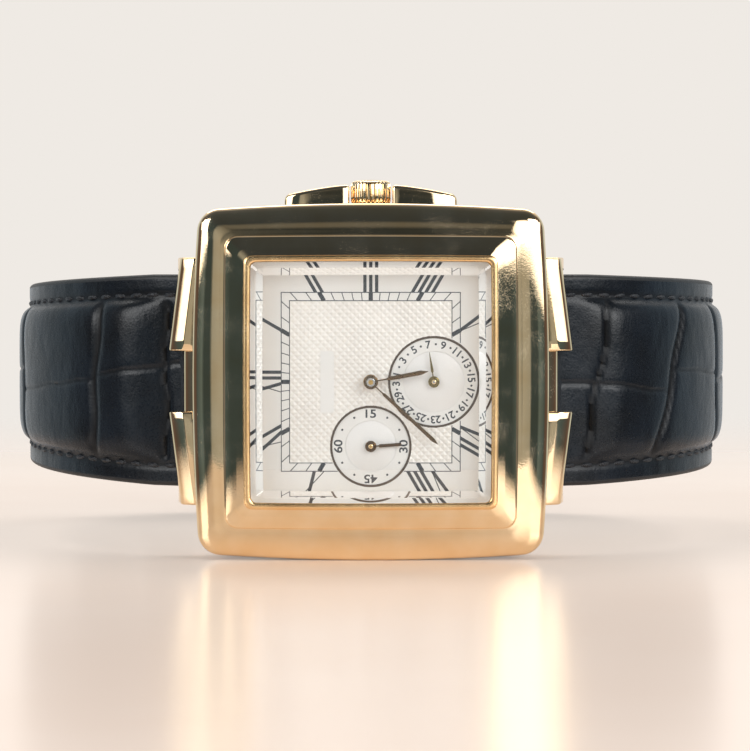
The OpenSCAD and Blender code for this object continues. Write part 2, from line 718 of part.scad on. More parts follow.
module back_seal() color(rubber_tone) stand() translate([0, 0, seal_z]) rotate_extrude()
    translate([back_spigot_d / 2 - seal_in, 0]) square([seal_w, seal_h]);
module back_screws() color(steel) stand() back_screw_places() {
    difference() {
        translate([0, 0, screw_head_z]) cylinder(d = back_screw_head_d, h = screw_head_h);
        translate([-back_screw_head_d, -screw_slot_w / 2, 0])
            cube([2 * back_screw_head_d, screw_slot_w, screw_slot_z]);
    }
    translate([0, 0, screw_head_h]) cylinder(d = screw_d - 2 * seat_gap, h = back_screw_z1 - screw_head_h);
}

// Movement: plates, wheels, escapement and rotor
movement_r = movement_d / 2;
module stem_cut(d, y0, y1) translate([0, 0, crown_z]) along_y(y0) cylinder(d = d, h = y1 - y0);

module movement_ring() color(steel) stand() difference() {
    translate([0, 0, movement_ring_z0])
        cylinder(d = room_d - 2 * seat_gap, h = movement_ring_z1 - movement_ring_z0);
    cylinder(d = movement_d + 2 * seat_gap, h = rim_z);
    stem_cut(tube_d + tube_room, movement_r - past, room_d / 2 + past);
}

plate_rim_t = 0.75;
tube_room = 0.4;
arbor_hole_deep = 2;
drum_arbor_r = 0.57;
drum_hole_r = 0.6;
crown_wheel_arbor_r = 0.42;
crown_wheel_hole_r = 0.45;
date_pivot_z = plate_z0 + 0.4;
recess_gap = 0.1;
module arbor_holes(z, h, r) for (p = [third_pos, fourth_pos, escape_pos, pallet_pos, balance_pos])
    at(p, z) cylinder(r = r, h = h);
date_room_r = 2.75;
minute_room_r = 2.5;
module mainplate() color(steel) stand() difference() {
    union() {
        translate([0, 0, plate_z0]) cylinder(r = movement_r, h = dial_z0 - plate_z0 - seat_gap);
        translate([0, 0, bridge_z1]) difference() {
            cylinder(r = movement_r, h = plate_z0 - bridge_z1 + eps);
            translate([0, 0, -eps]) cylinder(r = movement_r - plate_rim_t, h = plate_z0 - bridge_z1);
        }
    }
    // Recesses on the dial side for the motion work and the date wheel
    translate([0, 0, plate_z1]) cylinder(r = minute_room_r + recess_gap, h = past);
    at(minute_wheel_pos, plate_z1) cylinder(r = minute_room_r, h = past);
    at(date_pos, plate_z1) cylinder(r = date_room_r, h = past);
    // Pivot holes
    translate([0, 0, plate_z0 - eps]) cylinder(r = cannon_r + recess_gap, h = arbor_hole_deep);
    arbor_holes(plate_z0 - eps, arbor_hole_deep, small_arbor_r + run_gap);
    at(barrel_pos, plate_z0 - eps) cylinder(r = drum_hole_r, h = drum_hole_r);
    at(date_pos, date_pivot_z) cylinder(r = small_arbor_r + run_gap, h = arbor_hole_deep);
    // Room for the winding parts
    translate([-winding_room_w / 2, winding_room_y0, bridge_z1 - eps])
        cube([winding_room_w, winding_room_y1 - winding_room_y0, crown_z - bridge_z1 + winding_room_w / 2]);
    stem_cut(stem_d + 2 * run_gap, movement_r - 2 * past, movement_r + past);
}

lever_room_w = 4.4;
balance_room = 0.4;
module train_bridge() color(steel) stand() difference() {
    translate([0, 0, bridge_z0]) cylinder(r = movement_r, h = bridge_z1 - bridge_z0);
    // Opening for the balance, its cock and the lever
    at(balance_pos, bridge_z0 - eps) cylinder(r = balance_r + balance_room, h = past);
    rotate(atan2(balance_pos[1], balance_pos[0]))
        translate([norm(balance_pos), -lever_room_w / 2, bridge_z0 - eps])
            cube([movement_r, lever_room_w, past]);
    // Pivot holes
    translate([0, 0, bridge_z0 - eps]) cylinder(r = arbor_r + run_gap, h = past);
    for (p = [third_pos, fourth_pos, escape_pos]) at(p, bridge_z0 - eps)
        cylinder(r = small_arbor_r + run_gap, h = past);
    at(barrel_pos, bridge_z0 - eps) cylinder(r = drum_hole_r, h = past);
    at(crown_wheel_pos, bridge_z0 - eps) cylinder(r = crown_wheel_hole_r, h = past);
    // Slot over the winding pinion and the clutch wheel
    translate([-winding_room_w / 2, winding_room_y0, bridge_z0 - eps])
        cube([winding_room_w, winding_room_y1 - winding_room_y0, past]);
}

barrel_module = 2 * barrel_dist / (barrel_teeth + centre_pinion_teeth);
barrel_tooth_t = 0.35;
drum_pivot_h = 0.52;
ratchet_hub_r = 0.9;
module barrel() color(brass_tone) stand() at(barrel_pos, 0) {
    translate([0, 0, barrel_z0])
        cylinder(r = (barrel_teeth / 2 - 3) * barrel_module, h = barrel_z1 - barrel_z0);
    translate([0, 0, barrel_z1 - barrel_tooth_t]) linear_extrude(barrel_tooth_t)
        wheel2d(barrel_teeth, barrel_module, barrel_dir + 180 + 180 / barrel_teeth);
    translate([0, 0, pivot_z0]) cylinder(r = drum_arbor_r, h = plate_z0 + drum_pivot_h - pivot_z0);
}
module ratchet_wheel() color(steel) stand() at(barrel_pos, winding_z0) {
    linear_extrude(winding_t)
        wheel2d(ratchet_teeth, winding_module, winding_phase + 180 + 180 / ratchet_teeth);
    cylinder(r = ratchet_hub_r, h = bridge_z0 - winding_z0 - run_gap);
}
winding_phase = atan2(barrel_pos[1] - crown_wheel_pos[1], barrel_pos[0] - crown_wheel_pos[0]);
module crown_wheel() color(steel) stand() at(crown_wheel_pos, winding_z0) {
    linear_extrude(winding_t) wheel2d(crown_wheel_teeth, winding_module, winding_phase);
    cylinder(r = crown_wheel_arbor_r, h = bridge_z1 - winding_z0 - 2 * plate_gap);
}

centre_module = 2 * third_dist / (centre_teeth + third_pinion_teeth);
third_module = 2 * fourth_dist / (third_teeth + fourth_pinion_teeth);
escape_module = 2 * escape_dist / (fourth_teeth + escape_pinion_teeth);
third_dir = atan2(third_pos[1], third_pos[0]);
third_to_fourth = atan2(fourth_pos[1] - third_pos[1], fourth_pos[0] - third_pos[0]);
pin_top_z = minute_hand_z + hub_t + 0.1;
wheel_spokes = 5;
centre_hub_r = 1.0;
third_hub_r = 0.7;
fourth_hub_r = 0.6;
hub_arbor_r = 0.45;
module centre_wheel() color(brass_tone) stand() {
    translate([0, 0, centre_wheel_z])
        spoked_wheel(centre_teeth, centre_module, wheel_t, centre_hub_r, third_dir);
    translate([0, 0, centre_pinion_z]) linear_extrude(plate_z0 - plate_gap - centre_pinion_z)
        pinion2d(centre_pinion_teeth, barrel_module, barrel_dir);
    translate([0, 0, centre_wheel_z]) cylinder(r = hub_arbor_r, h = centre_pinion_z + 0.2 - centre_wheel_z);
    translate([0, 0, pivot_z0]) cylinder(r = arbor_r, h = past);
    translate([0, 0, centre_pin_z0]) cylinder(r = centre_pin_r, h = pin_top_z - centre_pin_z0);
}
module cannon_pinion() color(steel) stand() difference() {
    union() {
        translate([0, 0, plate_z0]) cylinder(r = cannon_r, h = minute_hand_z + hub_t - plate_z0 + end_play);
        translate([0, 0, cannon_pinion_z]) linear_extrude(cannon_pinion_t)
            pinion2d(cannon_teeth, motion_module, minute_wheel_dir);
    }
    translate([0, 0, plate_z0 - past]) cylinder(r = centre_pin_r, h = pin_top_z);
}
motion_module = 2 * minute_wheel_dist / (cannon_teeth + minute_teeth);
hour_module = 2 * minute_wheel_dist / (hour_teeth + minute_pinion_teeth);
minute_boss_r = 0.4;
hour_tube_h = 0.24;
module minute_wheel() color(brass_tone) stand() at(minute_wheel_pos, 0) {
    translate([0, 0, minute_wheel_z]) linear_extrude(motion_wheel_t)
        wheel2d(minute_teeth, motion_module, minute_wheel_dir + 180 + 180 / minute_teeth);
    translate([0, 0, minute_wheel_z]) linear_extrude(minute_pinion_t)
        pinion2d(minute_pinion_teeth, hour_module, minute_wheel_dir + 180);
    translate([0, 0, plate_z1 + end_play]) cylinder(r = minute_boss_r, h = 2 * end_play);
}
module hour_wheel() color(brass_tone) stand() difference() {
    union() {
        translate([0, 0, hour_wheel_z]) linear_extrude(motion_wheel_t)
            wheel2d(hour_teeth, hour_module, minute_wheel_dir + 180 / hour_teeth);
        translate([0, 0, hour_wheel_z])
            cylinder(r = hour_tube_r, h = hour_hand_z + hour_tube_h - hour_wheel_z);
    }
    translate([0, 0, plate_z1]) cylinder(r = cannon_r + run_gap, h = hour_hand_z);
}
module third_wheel() color(brass_tone) stand() at(third_pos, 0) {
    translate([0, 0, third_wheel_z])
        spoked_wheel(third_teeth, third_module, wheel_t, third_hub_r, third_to_fourth);
    translate([0, 0, bridge_z1 + plate_gap]) linear_extrude(2 * wheel_t)
        pinion2d(third_pinion_teeth, centre_module, third_dir + 180 + 180 / third_pinion_teeth);
    translate([0, 0, bridge_z1 + plate_gap]) cylinder(r = arbor_r, h = plate_z0 - bridge_z1 - 2 * plate_gap);
    translate([0, 0, pivot_z0]) cylinder(r = small_arbor_r, h = pivot_z1 - pivot_z0);
}
small_pin_z = sub_hand_z + 0.24;
fourth_phase = third_to_fourth + 180 + 180 / fourth_pinion_teeth;
module fourth_wheel() color(brass_tone) stand() at(fourth_pos, 0) {
    translate([0, 0, fourth_wheel_z])
        spoked_wheel(fourth_teeth, escape_module, wheel_t, fourth_hub_r, escape_dir);
    translate([0, 0, fourth_wheel_z]) linear_extrude(third_wheel_z + wheel_t + plate_gap - fourth_wheel_z)
        pinion2d(fourth_pinion_teeth, third_module, fourth_phase);
    translate([0, 0, pivot_z0]) cylinder(r = small_arbor_r, h = small_pin_z - pivot_z0);
}
escape_teeth = 15;
// Tip, heel and root of one escape tooth, as shares of its pitch and of the wheel's radius
escape_tooth_at = [0, 0.02, 0.3, 0.62];
escape_tooth_r = [1, 0.99, 0.82, 0.80];
escape_rim = 0.66;
escape_spokes = 4;
escape_spoke_w = 0.24;
escape_pinion_z = fourth_wheel_z - 0.08;
module escape_wheel() color(steel) stand() at(escape_pos, 0) {
    translate([0, 0, escape_z]) difference() {
        linear_extrude(wheel_t) polygon([
            for (i = [0 : escape_teeth - 1]) for (k = [0 : 3]) let (
                a = 360 / escape_teeth * (i + escape_tooth_at[k]),
                r = escape_r * escape_tooth_r[k]
            ) r * [cos(a), -sin(a)]
        ]);
        translate([0, 0, -eps]) cylinder(r = escape_r * escape_rim, h = past);
    }
    for (k = [0 : escape_spokes - 1]) rotate(360 / escape_spokes * k)
        translate([0, -escape_spoke_w / 2, escape_z])
            cube([escape_r * (escape_rim + 0.04), escape_spoke_w, wheel_t]);
    translate([0, 0, escape_z]) cylinder(r = hub_arbor_r, h = wheel_t);
    translate([0, 0, escape_pinion_z]) linear_extrude(2 * wheel_t)
        pinion2d(escape_pinion_teeth, escape_module, escape_dir + 180 + 180 / escape_pinion_teeth);
    translate([0, 0, pivot_z0]) cylinder(r = small_arbor_r, h = pivot_z1 - pivot_z0);
}
// Lever: two arms with stones at the escape wheel and a fork at the balance roller
roller_r = 0.4;
lever_t = 0.16;
lever_z = escape_z - 0.02;
fork_end = balance_dist - pallet_dist - roller_r - 0.14;
stone_angle = 33;
stone_gap = 0.12;
stone_len = 0.5;
stone_w = 0.28;
lever_boss_r = 0.35;
lever_pivot_z = third_wheel_z + wheel_t + 0.06;
lever_pivot_h = plate_z1 - third_wheel_z - 0.5;
stone_at = (escape_r + stone_len) * [cos(stone_angle), sin(stone_angle)] - [pallet_dist, 0];
module pallet_fork() color(steel) stand() at(pallet_pos, 0) {
    translate([0, 0, lever_z]) cylinder(r = lever_boss_r, h = lever_t);
    translate([0, 0, lever_z]) rotate(lever_dir) linear_extrude(lever_t) {
        polygon([
            [0, -0.2], [fork_end - 0.6, -0.1], [fork_end - 0.4, -0.32], [fork_end, -0.3],
            [fork_end - 0.24, -0.12], [fork_end - 0.32, 0], [fork_end - 0.24, 0.12],
            [fork_end, 0.3], [fork_end - 0.4, 0.32], [fork_end - 0.6, 0.1], [0, 0.2]
        ]);
        for (s = [-1, 1]) polygon([
            [0.25, 0], [0.15, s * 0.9 * stone_at[1]], stone_at + [0.2, s > 0 ? 0.2 : -2 * stone_at[1] - 0.2],
            [stone_at[0] - 0.15, s * (stone_at[1] - 0.05)], [-0.28, s * 0.3]
        ]);
    }
    rotate(lever_dir) translate([-pallet_dist, 0, lever_z]) for (s = [-1, 1]) rotate(s * stone_angle)
        translate([escape_r + stone_gap, -stone_w / 2, 0]) cube([stone_len - stone_gap, stone_w, lever_t]);
    translate([0, 0, lever_pivot_z]) cylinder(r = small_arbor_r, h = lever_pivot_h);
}
balance_rim_t = 0.22;
balance_rim_w = 0.35;
balance_spokes = 3;
balance_spoke_w = 0.28;
balance_spoke_t = 0.14;
balance_turn = 20;
balance_hub_h = 0.2;
roller_z = escape_z - 0.1;
roller_h = 0.3;
balance_pivot_z = bridge_z0 + 0.3;
balance_pivot_h = plate_z1 - bridge_z0 - 0.5;
module balance_wheel() color(brass_tone) stand() at(balance_pos, 0) {
    translate([0, 0, balance_z]) difference() {
        cylinder(r = balance_r, h = balance_rim_t);
        translate([0, 0, -eps]) cylinder(r = balance_r - balance_rim_w, h = past);
    }
    for (k = [0 : balance_spokes - 1]) rotate(360 / balance_spokes * k + balance_turn)
        translate([0, -balance_spoke_w / 2, balance_z])
            cube([balance_r - balance_rim_w / 2, balance_spoke_w, balance_spoke_t]);
    translate([0, 0, balance_z]) cylinder(r = roller_r, h = balance_hub_h);
    translate([0, 0, roller_z]) cylinder(r = roller_r, h = roller_h);
    translate([0, 0, balance_pivot_z]) cylinder(r = small_arbor_r, h = balance_pivot_h);
}
cock_dir = atan2(balance_pos[1], balance_pos[0]);
cock_r = 1.6;
module balance_cock() color(steel) stand() difference() {
    union() {
        intersection() {
            translate([0, 0, bridge_z0]) cylinder(r = movement_r, h = bridge_z1 - bridge_z0);
            rotate(cock_dir) translate([norm(balance_pos), -cock_r, bridge_z0])
                cube([movement_r, 2 * cock_r, past]);
        }
        at(balance_pos, bridge_z0) cylinder(r = cock_r, h = bridge_z1 - bridge_z0);
    }
    at(balance_pos, bridge_z0 - past) cylinder(r = small_arbor_r + run_gap, h = bridge_z1);
}
hair_r0 = 0.55;
hair_r1 = 2.2;
hair_w = 0.05;
hair_h = 0.14;
hair_steps = 24;
hair_n = hairspring_turns * hair_steps;
blued_tone = [0.25, 0.3, 0.5];
// Point i of the spiral, moved outward by grow
function hair_point(i, grow) = let (
    a = 360 * i / hair_steps,
    r = hair_r0 + grow + (hair_r1 - hair_r0) * i / hair_n
) r * [cos(a), sin(a)];
module hairspring() color(blued_tone) stand() at(balance_pos, hairspring_z) linear_extrude(hair_h)
    polygon(concat(
        [for (i = [0 : hair_n]) hair_point(i, 0)],
        [for (i = [hair_n : -1 : 0]) hair_point(i, hair_w)]
    ));
date_teeth = 31;
date_wheel_r = 2.5;
date_tooth_deep = 0.35;
module date_wheel() color(steel) stand() at(date_pos, 0) {
    translate([0, 0, date_wheel_z]) linear_extrude(date_wheel_t) polygon([
        for (i = [0 : date_teeth - 1]) for (k = [0, 1]) let (a = 360 / date_teeth * (i + k / 2))
            (date_wheel_r - k * date_tooth_deep) * [cos(a), sin(a)]
    ]);
    translate([0, 0, date_pivot_z + plate_gap])
        cylinder(r = small_arbor_r, h = sub_hand_z + sub_hub_h + end_play - date_pivot_z - plate_gap);
}

rotor_r = 12.2;
rotor_rim_in = 10.45;
rotor_hub_w = 0.9;
rotor_hub_rise = 0.15;
rotor_window_at = 6.3;
rotor_window_r = 2.0;
rotor_window_angles = [35, 90, 145];
bearing_r = 1.5;
bearing_top = 0.05;
bearing_h = 0.55;
bearing_flange_w = 0.5;
bearing_flange_z = 0.49;
bearing_cap_r = 0.7;
bearing_cap_h = 0.2;
bearing_cap_top = 0.15;
module half_disc(r, h) intersection() {
    cylinder(r = r, h = h);
    translate([-r, 0, 0]) cube([2 * r, r, h]);
}
// The heavy half hangs towards 9 o'clock, below the axis
module rotor() color(brass_tone) stand() translate([0, 0, rotor_z0]) rotate(180) difference() {
    union() {
        difference() {
            half_disc(rotor_r, rotor_rim_z1 - rotor_z0);
            translate([0, 0, rotor_web_t]) cylinder(r = rotor_rim_in, h = rotor_rim_z1);
        }
        cylinder(r = bearing_r + rotor_hub_w, h = rotor_web_t + rotor_hub_rise);
    }
    translate([0, 0, -eps]) cylinder(r = bearing_r + run_gap, h = rotor_rim_z1);
    for (a = rotor_window_angles) rotate(a) translate([rotor_window_at, 0, -eps])
        cylinder(r = rotor_window_r, h = rotor_web_t + 2 * eps);
}
module rotor_bearing() color(steel) stand() {
    translate([0, 0, rotor_z0 - bearing_top]) cylinder(r = bearing_r, h = bearing_h);
    translate([0, 0, rotor_z0 + bearing_flange_z])
        cylinder(r = bearing_r + bearing_flange_w, h = bridge_z0 - rotor_z0 - bearing_flange_z);
    translate([0, 0, rotor_z0 - bearing_cap_top]) cylinder(r = bearing_cap_r, h = bearing_cap_h);
}

// Crown, stem and winding parts
flute_depth = 0.16;
// One flute of the crown: where its points lie along the pitch, and how deep each one is
flute_at = [0, 0.1, 0.2, 0.3, 0.72, 0.82];
flute_deep = [1, 0.1, 0, 0, 0.1, 0.55];
crown_wall = 0.4;
// Rounded outer end of the crown, as [in from the rim, back from the end] points
crown_end = [[0, 0.45], [0.12, 0.25], [0.4, 0.12], [0.9, 0.04]];
crown_foot_chamfer = 0.2;
crown_tube_room = 0.1;
module crown() color(gold) stand() translate([0, 0, crown_z]) along_y(crown_y0) difference() {
    intersection() {
        linear_extrude(crown_len) polygon([
            for (i = [0 : crown_flutes - 1]) for (k = [0 : 5]) let (
                a = 360 / crown_flutes * (i + flute_at[k]),
                r = crown_d / 2 - flute_depth * flute_deep[k]
            ) r * [cos(a), sin(a)]
        ]);
        rotate_extrude() polygon(concat(
            [[0, 0], [crown_d / 2 - crown_foot_chamfer, 0], [crown_d / 2, crown_foot_chamfer]],
            [for (q = crown_end) [crown_d / 2 - q[0], crown_len - q[1]]],
            [[0, crown_len]]
        ));
    }
    translate([0, 0, -eps]) cylinder(d = crown_bore_d, h = tube_y1 - crown_y0 + crown_tube_room);
    translate([0, 0, -eps]) cylinder(d = stem_d, h = crown_len - crown_wall);
}
stem_y1 = crown_y0 + crown_len - crown_wall;
stem_overlap = 0.1;
stem_square = 0.66 * stem_d;
stem_square_y0 = 7.2;
stem_round_y0 = 9.0;
module stem() color(steel) stand() translate([0, 0, crown_z]) {
    along_y(stem_y0) cylinder(d = stem_square, h = stem_square_y0 - stem_y0 + stem_overlap);
    along_y(stem_square_y0) translate([-stem_square / 2, -stem_square / 2, 0])
        cube([stem_square, stem_square, stem_round_y0 - stem_square_y0 + stem_overlap]);
    along_y(stem_round_y0) cylinder(d = stem_d, h = stem_y1 - stem_round_y0);
}
// Groove near the outer end of the tube, and the ring seal that sits in it
tube_groove_back = 0.7;
tube_groove_w = 0.35;
tube_groove_deep = 0.27;
stem_seal_t = 0.25;
stem_seal_len = 0.3;
module crown_tube() color(steel) stand() translate([0, 0, crown_z]) difference() {
    along_y(tube_y0) cylinder(d = tube_d, h = tube_y1 - tube_y0);
    along_y(tube_y0 - past) cylinder(d = stem_d + 2 * run_gap, h = tube_y1 - tube_y0 + 2 * past);
    along_y(tube_y1 - tube_groove_back) cylinder(r = stem_d / 2 + tube_groove_deep, h = tube_groove_w);
}
module crown_seal() color(rubber_tone) stand() translate([0, 0, crown_z])
    along_y(tube_y1 - tube_groove_back + end_play) difference() {
        cylinder(r = stem_d / 2 + stem_seal_t, h = stem_seal_len);
        translate([0, 0, -eps]) cylinder(r = stem_d / 2 + run_gap, h = past);
    }
clutch_teeth = 14;
clutch_radii = [0.85, 1.0, 1.1];
clutch_core_r = 0.75;
clutch_tooth_t = 0.35;
module clutch_crown() linear_extrude(clutch_tooth_t)
    polygon(toothed(clutch_teeth, clutch_radii, pinion_fractions, 0));
module clutch_wheel() color(steel) stand() translate([0, 0, crown_z]) along_y(clutch_y) difference() {
    union() {
        cylinder(r = clutch_core_r, h = clutch_len);
        clutch_crown();
        translate([0, 0, clutch_len - clutch_tooth_t]) clutch_crown();
    }
    translate([-stem_square / 2 - run_gap, -stem_square / 2 - run_gap, -eps])
        cube([stem_square + 2 * run_gap, stem_square + 2 * run_gap, clutch_len + 2 * eps]);
}
module winding_pinion() color(steel) stand() translate([0, 0, crown_z])
    along_y(winding_pinion_y) difference() {
        linear_extrude(winding_pinion_len)
            pinion2d(winding_pinion_teeth, winding_pinion_fit * winding_module);
        translate([0, 0, -eps]) cylinder(d = stem_d + 2 * run_gap, h = winding_pinion_len + 2 * eps);
    }

// Strap halves
module spring_bars() color(steel) stand() for (s = [-1, 1]) translate([s * bar_at, 0, bar_z]) {
    y_bar(bar_d / 2, strap_w - leather_gap);
    y_bar(spring_tip_d / 2, strap_w + 2 * spring_tip_len);
}

// Points of a path in the x-z plane, each [x, z, outward angle], from the lug round the loop
lug_steps = 8;
corner_path_steps = 10;
function lug_arc(i) = let (t = lug_arc_angle * (1 - i / lug_steps))
    [loop_half_w - lug_arc_r + lug_arc_r * cos(t), -loop_wide_z + lug_arc_r * sin(t), t];
function back_arc(cx, r, t) = [cx + r * cos(t), -corner_z + r * sin(t), t];
short_path = concat(
    [for (i = [0 : lug_steps]) lug_arc(i)],
    [for (i = [1 : corner_path_steps]) back_arc(short_corner_x, loop_corner_r, -90 * i / corner_path_steps)],
    [[buckle_bar_at, -loop_back_z, -90]]
);
tail_steps = 7;
function mirrored(p) = [-p[0], p[1], 180 - p[2]];
long_path = concat(
    [for (i = [0 : lug_steps]) lug_arc(i)],
    [for (i = [1 : corner_path_steps]) back_arc(long_corner_x, tail_corner_r, -90 * i / corner_path_steps)],
    [[0, tail_z, -90]],
    [for (i = [0 : tail_steps])
        mirrored(back_arc(short_corner_x, tail_corner_r, -90 + tail_angle * i / tail_steps))]
);
function path_lengths(p, i = 0, so_far = 0) = i >= len(p) ? [] :
    concat([so_far], path_lengths(p, i + 1, i + 1 < len(p) ?
        so_far + norm([p[i + 1][0] - p[i][0], p[i + 1][1] - p[i][1]]) : 0));
function ramp(x, x0, x1) = min(1, max(0, (x - x0) / (x1 - x0)));
function ease(u) = u * u * (3 - 2 * u);

// Cross-section of the strap, [across, outward] points, flat inside and padded outside
edge_round = 0.45;
pad_margin = 2.9;
// Half of the padded profile, as [share of its half width, share of its height]
pad_half = [[1, 0], [0.95, 0.6], [0.86, 0.88], [0.5, 0.98]];
function strap_section(w, t_in, t_out, pad) = concat(
    [[-w + edge_round, -t_in], [w - edge_round, -t_in], [w, -t_in + edge_round],
     [w, t_out - edge_round], [w - edge_round, t_out]],
    [for (q = pad_half) [q[0] * (w - pad_margin), t_out + pad * q[1]]],
    [[0, t_out + pad]],
    [for (k = [len(pad_half) - 1 : -1 : 0])
        [-pad_half[k][0] * (w - pad_margin), t_out + pad * pad_half[k][1]]],
    [[-w + edge_round, t_out], [-w, t_out - edge_round], [-w, -t_in + edge_round]]
);
function strap_ring(p, sec) = [for (q = sec)
    [p[0] + q[1] * cos(p[2]), q[0], p[1] + q[1] * sin(p[2])]];
// Distances along the strap: where the padding starts and is full, and where the edges start to narrow
pad_from = 2;
lug_blend = 7;
taper_from = 4;
// Distances back from the buckle bar: where the padding starts to fall, ends, and the edges run level
pad_fall_from = 44;
pad_fall_to = 26;
taper_to = 27;
lug_end_w = strap_w - leather_gap;
function half_w_along(s, end_w, to) = lug_end_w / 2 + (end_w - strap_w) / 2 * ramp(s, taper_from, to);
// Thickness of the short strap: thin round the bar, padded after the lug, flat at the buckle
function short_rings() = let (d = path_lengths(short_path), total = d[len(d) - 1]) [
    for (i = [0 : len(d) - 1]) let (
        s = d[i],
        up = ease(ramp(s, pad_from, lug_blend)),
        down = 1 - ease(ramp(s, total - pad_fall_from, total - pad_fall_to)),
        half_w = half_w_along(s, buckle_w, total - taper_to),
        half_t = strap_edge_t / 2
    ) strap_ring(short_path[i], strap_section(half_w, half_t, half_t, padding_h * up * down))
];
// The long half gets flat and thin over this length, this far before the back of the loop
flat_len = 22;
flat_end = 2;
thin_end = 4;
tail_tip_len = 7;
tail_tip_shape = 0.72;
function long_rings() = let (
    d = path_lengths(long_path),
    total = d[len(d) - 1],
    flat_at = d[lug_steps + corner_path_steps]
) [
    for (i = [0 : len(d) - 1]) let (
        s = d[i],
        up = ease(ramp(s, pad_from, lug_blend)),
        down = 1 - ease(ramp(s, flat_at - flat_len, flat_at - flat_end)),
        thin = ease(ramp(s, flat_at - flat_len, flat_at - thin_end)),
        half_t = strap_edge_t / 2 + (tail_t - strap_edge_t) / 2 * thin,
        tip = ramp(s, total - tail_tip_len, total),
        half_w = half_w_along(s, tail_w, flat_at - thin_end) * sqrt(1 - tail_tip_shape * tip * tip)
    ) strap_ring(long_path[i], strap_section(half_w, half_t, half_t, padding_h * up * down))
];

bar_slot_len = 3;
module y_bar(r, len) rotate([90, 0, 0]) cylinder(r = r, h = len, center = true);
module strap_short() color(leather_tone) stand() mirror([1, 0, 0]) difference() {
    union() {
        skin(short_rings());
        translate([bar_at, 0, bar_z]) y_bar(strap_end_r, strap_w - leather_gap);
        translate([buckle_bar_at, 0, -loop_back_z]) y_bar(strap_edge_t / 2, buckle_w - leather_gap);
    }
    translate([bar_at, 0, bar_z]) y_bar(bar_d / 2, strap_w + 2 * past);
    translate([buckle_bar_at, 0, -loop_back_z]) y_bar(buckle_bar_d / 2, buckle_w + 2 * past);
    // Slot for the tongue at the buckle end
    translate([buckle_bar_at - bar_slot_len, -slot_y, -loop_back_z - strap_edge_t])
        cube([2 * bar_slot_len, 2 * slot_y, 2 * strap_edge_t]);
}
hole_d = 1.8;
hole_step = 6.5;
slot_x0 = -buckle_bar_at;
slot_len = 6.1;
slot_mid = slot_x0 + slot_len / 2;
free_holes = 2;
tail_hole_angle = 17;
corner_hole_back = 1.95;
module strap_hole(x) translate([x, 0, tail_z - tail_t]) cylinder(d = hole_d, h = 2 * tail_t);
module strap_long() color(leather_tone) stand() difference() {
    union() {
        skin(long_rings());
        translate([bar_at, 0, bar_z]) y_bar(strap_end_r, strap_w - leather_gap);
    }
    translate([bar_at, 0, bar_z]) y_bar(bar_d / 2, strap_w + 2 * past);
    // The hole in use, with the tongue through it, and the free holes on both sides
    translate([slot_x0, -slot_y, tail_z - tail_t]) cube([slot_len, 2 * slot_y, 2 * tail_t]);
    for (k = [1 : free_holes]) strap_hole(slot_mid + hole_step * k);
    for (k = [1 : free_holes]) rotate_about_corner(tail_hole_angle * k)
        strap_hole(slot_mid - corner_hole_back);
}
module rotate_about_corner(a) translate([-short_corner_x, 0, -corner_z]) rotate([0, a, 0])
    translate([short_corner_x, 0, corner_z]) children();

// Keepers: flat bands round both layers, drawn at the back and turned round the corner
keeper_t = 0.8;
keeper_in_z = -loop_back_z + strap_edge_t / 2 + leather_gap;
keeper_out_z = tail_z - tail_t / 2 - leather_gap;
keeper_half_w = buckle_w / 2 + leather_gap;
keeper_cut_angle = 3;
module keeper_band() translate([-short_corner_x, 0, -corner_z]) rotate([90, 0, 0]) {
    r_in = -corner_z - keeper_in_z;
    r_out = -corner_z - keeper_out_z;
    half = keeper_w / 2 / r_out * 180 / PI;
    difference() {
        translate([0, 0, -keeper_half_w - keeper_t])
            keeper_arc(r_in - keeper_t, r_out + keeper_t, half, 2 * (keeper_half_w + keeper_t));
        translate([0, 0, -keeper_half_w]) keeper_arc(r_in, r_out, half + keeper_cut_angle, 2 * keeper_half_w);
    }
}
module keeper_arc(r_in, r_out, half, h) rotate([0, 0, -90 - half])
    rotate_extrude(angle = 2 * half) translate([r_in, 0]) square([r_out - r_in, h]);
module keeper_fixed() color(leather_tone) stand() rotate_about_corner(fixed_keeper_angle) keeper_band();
module keeper_loose() color(leather_tone) stand() rotate_about_corner(loose_keeper_angle) keeper_band();

// Buckle
module buckle_bar() color(steel) stand() translate([-buckle_bar_at, 0, -loop_back_z])
    y_bar(buckle_bar_d / 2, 2 * (frame_arm_y + frame_arm_w / 2));
arm_r = 1.25;
arm_steps = 32;
bar_seat_gap = 0.01;
module frame_arm(y0) translate([0, y0 + frame_arm_w, 0]) rotate([90, 0, 0]) difference() {
    hull() {
        translate([-buckle_bar_at, -loop_back_z]) cylinder(r = arm_r, h = frame_arm_w, $fn = arm_steps);
        translate([front_bar_x, front_bar_z])
            cylinder(r = buckle_front_d / 2, h = frame_arm_w, $fn = arm_steps);
    }
    translate([-buckle_bar_at, -loop_back_z, -past])
        cylinder(d = buckle_bar_d + 2 * bar_seat_gap, h = frame_arm_w + 2 * past);
}
module buckle_frame() color(gold) stand() {
    frame_arm(frame_arm_y);
    frame_arm(-frame_arm_y - frame_arm_w);
    translate([front_bar_x, 0, front_bar_z]) y_bar(buckle_front_d / 2, 2 * frame_arm_y + 2 * frame_arm_w);
}
tongue_t = 0.9;
tongue_eye_wall = 0.45;
tongue_tip = 1.0;
tongue_tip_t = 0.6;
tongue_bend = 1.2;
tongue_rise = 2.6;
tongue_rise_under = 3.0;
tongue_root_deep = 1.0;
tongue_rise_drop = 0.15;
tongue_clear = 0.1;
tongue_z = front_bar_z - buckle_front_d / 2 - seat_gap;
